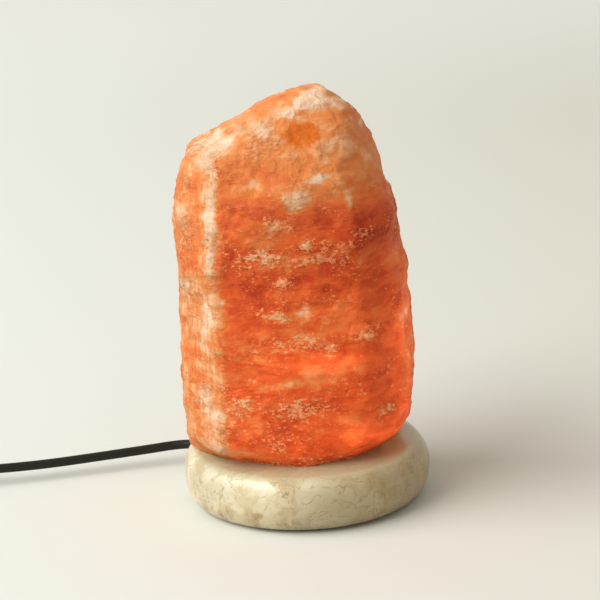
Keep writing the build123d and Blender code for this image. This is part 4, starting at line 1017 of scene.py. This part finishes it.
# the cord's sheath and the felt pads
softSettings = {
    "sheathDark": (0.012, 0.011, 0.007),
    "sheathLight": (0.020, 0.018, 0.011),
    "feltDark": (0.03, 0.026, 0.022),
    "feltLight": (0.11, 0.10, 0.09),
}
# the bulb's glass, and the light that the hot wire and the glass give
glassSettings = {
    "colour": (1.0, 0.96, 0.90),
    "wireLight": (1.0, 0.50, 0.16),
    "glassLight": (1.0, 0.55, 0.22),
    "glassGlow": 0.12,
}


def plasticMaterial(name, colour, roughness, grainScale, grainStrength, tint, coat):
    # a fine even grain in the gloss and the bump, and a slow change of tone
    plastic = Shader(name)
    grain = plastic.noise((grainScale,) * 3, 3, 0.6)
    slow = plastic.noise((45, 45, 45), 3, 0.5)
    darker = tuple(part * (1 - tint) for part in colour)
    lighter = tuple(min(1.0, part * (1 + tint) + 0.004) for part in colour)
    return plastic.finish(
        Base_Color=plastic.mix(slow, darker, lighter),
        Roughness=plastic.stretch(grain, 0.3, 0.7, roughness * 0.85, min(1.0, roughness * 1.2)),
        Normal=plastic.bump(grain, grainStrength, 0.0004),
        Coat_Weight=coat,
    )


def metalMaterial(name, colour, roughness, brushed):
    # fine lines one way, and slow tarnish in the tone
    metal = Shader(name)
    drawn = metal.noise(brushed, 3, 0.6)
    tarnish = metal.noise((220, 220, 220), 4, 0.6)
    dull = tuple(part * 0.72 for part in colour)
    return metal.finish(
        Base_Color=metal.mix(metal.stretch(tarnish, 0.45, 0.75, 0, 0.7), colour, dull),
        Metallic=1.0,
        Roughness=metal.stretch(drawn, 0.25, 0.75, roughness * 0.75, roughness * 1.35),
        Normal=metal.bump(drawn, 0.06, 0.0003),
    )


def sheathMaterial(s):
    # soft black cord sheath: a fine grain in the gloss and the bump, and a slow change of tone
    sheath = Shader("cordSheath")
    grain = sheath.noise((1300, 1300, 1300), 3, 0.6)
    slow = sheath.noise((60, 60, 60), 3, 0.5)
    return sheath.finish(
        Base_Color=sheath.mix(slow, s["sheathDark"], s["sheathLight"]),
        Roughness=sheath.stretch(grain, 0.3, 0.7, 0.42, 0.56),
        Specular_IOR_Level=0.3,
        Normal=sheath.bump(grain, 0.10, 0.0004),
    )


def feltMaterial(s):
    # matted fibres, in the tone and the bump
    felt = Shader("felt")
    fibres = felt.noise((1500, 1500, 500), 5, 0.7, 1.5)
    return felt.finish(
        Base_Color=felt.ramp(fibres, [(0.3, s["feltDark"]), (0.7, s["feltLight"])]),
        Roughness=0.95,
        Sheen_Weight=0.3,
        Normal=felt.bump(fibres, 0.6, 0.0006),
    )


def glassMaterial(s):
    # thin lamp glass, warm from the wire behind it
    glass = Shader("lampGlass")
    waves = glass.noise((90, 90, 60), 2, 0.5)
    return glass.finish(
        Base_Color=s["colour"],
        Roughness=0.03,
        IOR=1.05,
        Transmission_Weight=1.0,
        Normal=glass.bump(waves, 0.05, 0.0005),
        Emission_Color=s["glassLight"],
        Emission_Strength=s["glassGlow"],
    )


def wireMaterial(name, colour, glow, light):
    # fine turns along the wire, in the tone and the bump
    wire = Shader(name)
    coils = wire.noise((2500, 400, 400), 2, 0.5)
    return wire.finish(
        Base_Color=wire.mix(coils, colour, tuple(part * 0.6 for part in colour)),
        Metallic=1.0,
        Roughness=0.45,
        Normal=wire.bump(coils, 0.2, 0.0002),
        Emission_Color=light,
        Emission_Strength=glow,
    )


finishes = {
    "felt": feltMaterial(softSettings),
    "cordSheath": sheathMaterial(softSettings),
    "lampGlass": glassMaterial(glassSettings),
}
for name, values in plasticSettings.items():
    finishes[name] = plasticMaterial(name, *values)
for name, values in metalSettings.items():
    finishes[name] = metalMaterial(name, *values)
for name, values in wireSettings.items():
    finishes[name] = wireMaterial(name, *values, glassSettings["wireLight"])
nodeFinishes = {
    "felt": ["felt_pads"],
    "blackRubber": ["cord_bush", "plug_relief"],
    "holderPlastic": ["holder_cap", "holder_sleeve"],
    "ceramicBlock": ["terminal_block"],
    "plated": ["threaded_shell", "bulb_cap", "bulb_tip", "plug_pins"],
    "brass": [
        "centre_contact", "side_contact", "terminal_screws",
        "rocker_bridge", "middle_contact", "end_contact",
    ],
    "steel": [
        "cord_clamp_screws", "spring_clip", "clip_rivet",
        "rocker_pin", "switch_screws", "cord_anchor_screws",
    ],
    "clampPlastic": ["cord_clamp", "cord_anchors"],
    "darkGlass": ["bulb_insulator"],
    "lampGlass": ["bulb_glass", "bulb_stem"],
    "leadWire": ["bulb_leads"],
    "hotWire": ["bulb_filament"],
    "brownCore": ["holder_cores", "switch_cores"],
    "blackPlastic": ["switch_lower_shell", "switch_upper_shell", "switch_rocker", "plug_body"],
    "pinSleeve": ["plug_pin_sleeves"],
    "cordSheath": ["cord_in_base", "cord_to_switch", "cord_to_coil", "cord_coil", "cord_to_plug"],
}
for finish, names in nodeFinishes.items():
    for name in names:
        setMaterial(nodes[name], finishes[finish])
for cord in (switchCord, plugCord):
    setMaterial(cord, finishes["cordSheath"])
setMaterial(crystal, saltMaterial(saltSettings))
setMaterial(nodes["salt_crystal"], crystal.data.materials[0])
setMaterial(marble, marbleMaterial(marbleFinish))
setMaterial(nodes["marble_base"], marble.data.materials[0])
print("salt lamp: materials set")


# floor that curves up into a backdrop, in metres
stageSettings = {
    "front": -8.0,
    "bend": 2.6,
    "bendRadius": 0.9,
    "bendRows": 40,
    "height": 2.4,
    "halfWidth": 4.0,
    "columns": 9,
    # colours shown near the object; painted shade to its right, away from the lamp, and under the lamp,
    # where it evens out the lamp's pool of light; painted light at the wall, where it makes up for the
    # lamp's fall-off; then the colour of the light that is thrown back
    "colour": (0.885, 0.925, 0.885),
    "paintedShadeRight": (0.805, 0.795, 0.720),
    "paintedShadeUnderLamp": (0.42, 0.43, 0.40),
    "paintedLightFarBack": (0.95, 0.98, 0.94),
    "thrownBack": (0.43, 0.41, 0.35),
}


def backdropPiece(s):
    # flat floor, a quarter turn, then a straight wall, carried sideways
    turn = np.linspace(0, np.pi / 2, s["bendRows"])
    wall = s["bend"] + s["bendRadius"]
    y = np.concatenate([[s["front"]], s["bend"] + s["bendRadius"] * np.sin(turn), [wall]])
    z = np.concatenate([[0], s["bendRadius"] * (1 - np.cos(turn)), [s["height"]]])
    x = np.linspace(-s["halfWidth"], s["halfWidth"], s["columns"])
    points = gridOf(x[:, None], y, z)
    index = np.arange(points.shape[0] * points.shape[1]).reshape(points.shape[:2])
    quads = [index[:-1, :-1], index[1:, :-1], index[1:, 1:], index[:-1, 1:]]
    quads = np.stack(quads, axis=-1).reshape(-1, 4)
    mesh = bpy.data.meshes.new("backdrop")
    mesh.from_pydata(points.reshape(-1, 3).tolist(), [], quads.tolist())
    mesh.polygons.foreach_set("use_smooth", np.ones(len(mesh.polygons), bool))
    return addObject("backdrop", mesh)


backdrop = backdropPiece(stageSettings)


def stageMaterial(s):
    # the shown colour is for rays that end in the picture, directly, mirrored or through glass; the
    # light that the floor throws back is plainer and weaker
    stage = Shader("paleStage")
    path = stage.tree.nodes.new("ShaderNodeLightPath")
    seen = stage.math("MAXIMUM", path.outputs["Is Camera Ray"], path.outputs["Is Glossy Ray"])
    seen = stage.math("MAXIMUM", seen, path.outputs["Is Transmission Ray"])
    x, y = stage.along("X"), stage.along("Y")
    # painted shade to the right and under the lamp, painted light towards the wall
    shown = stage.mix(stage.stretch(x, -0.35, 0.35), s["colour"], s["paintedShadeRight"])
    shown = stage.mix(stage.stretch(x, -0.5, -2.4), shown, s["paintedShadeUnderLamp"])
    shown = stage.mix(stage.stretch(y, 0.75, 1.6), shown, s["paintedLightFarBack"])
    return stage.finish(
        Base_Color=stage.mix(seen, s["thrownBack"], shown), Roughness=0.9, Specular_IOR_Level=0.1
    )


setMaterial(backdrop, stageMaterial(stageSettings))


# one broad soft lamp to the upper left, in metres and watts, and an even light from all round
lightSettings = {
    "place": (-3.4, -1.4, 2.9),
    "target": (0, 0, 0.08),
    "size": (5.0, 3.0),
    "power": 231,
    "colour": (1.0, 1.0, 0.985),
    "roomColour": (1.0, 0.95, 0.86),
    "roomStrength": 0.47,
}


def lightRoom(s):
    data = bpy.data.lights.new("softLamp", "AREA")
    data.shape = "RECTANGLE"
    data.size, data.size_y = s["size"]
    data.energy = s["power"]
    data.color = s["colour"]
    lamp = addObject("softLamp", data)
    lamp.location = s["place"]
    sight = Vector(s["target"]) - Vector(s["place"])
    lamp.rotation_euler = sight.to_track_quat("-Z", "Y").to_euler()
    world = bpy.data.worlds.new("room")
    world.use_nodes = True
    background = world.node_tree.nodes["Background"]
    background.inputs["Color"].default_value = (*s["roomColour"], 1)
    background.inputs["Strength"].default_value = s["roomStrength"]
    bpy.context.scene.world = world


lightRoom(lightSettings)
bpy.context.scene.view_settings.view_transform = "Standard"
print("salt lamp: stage and light set")
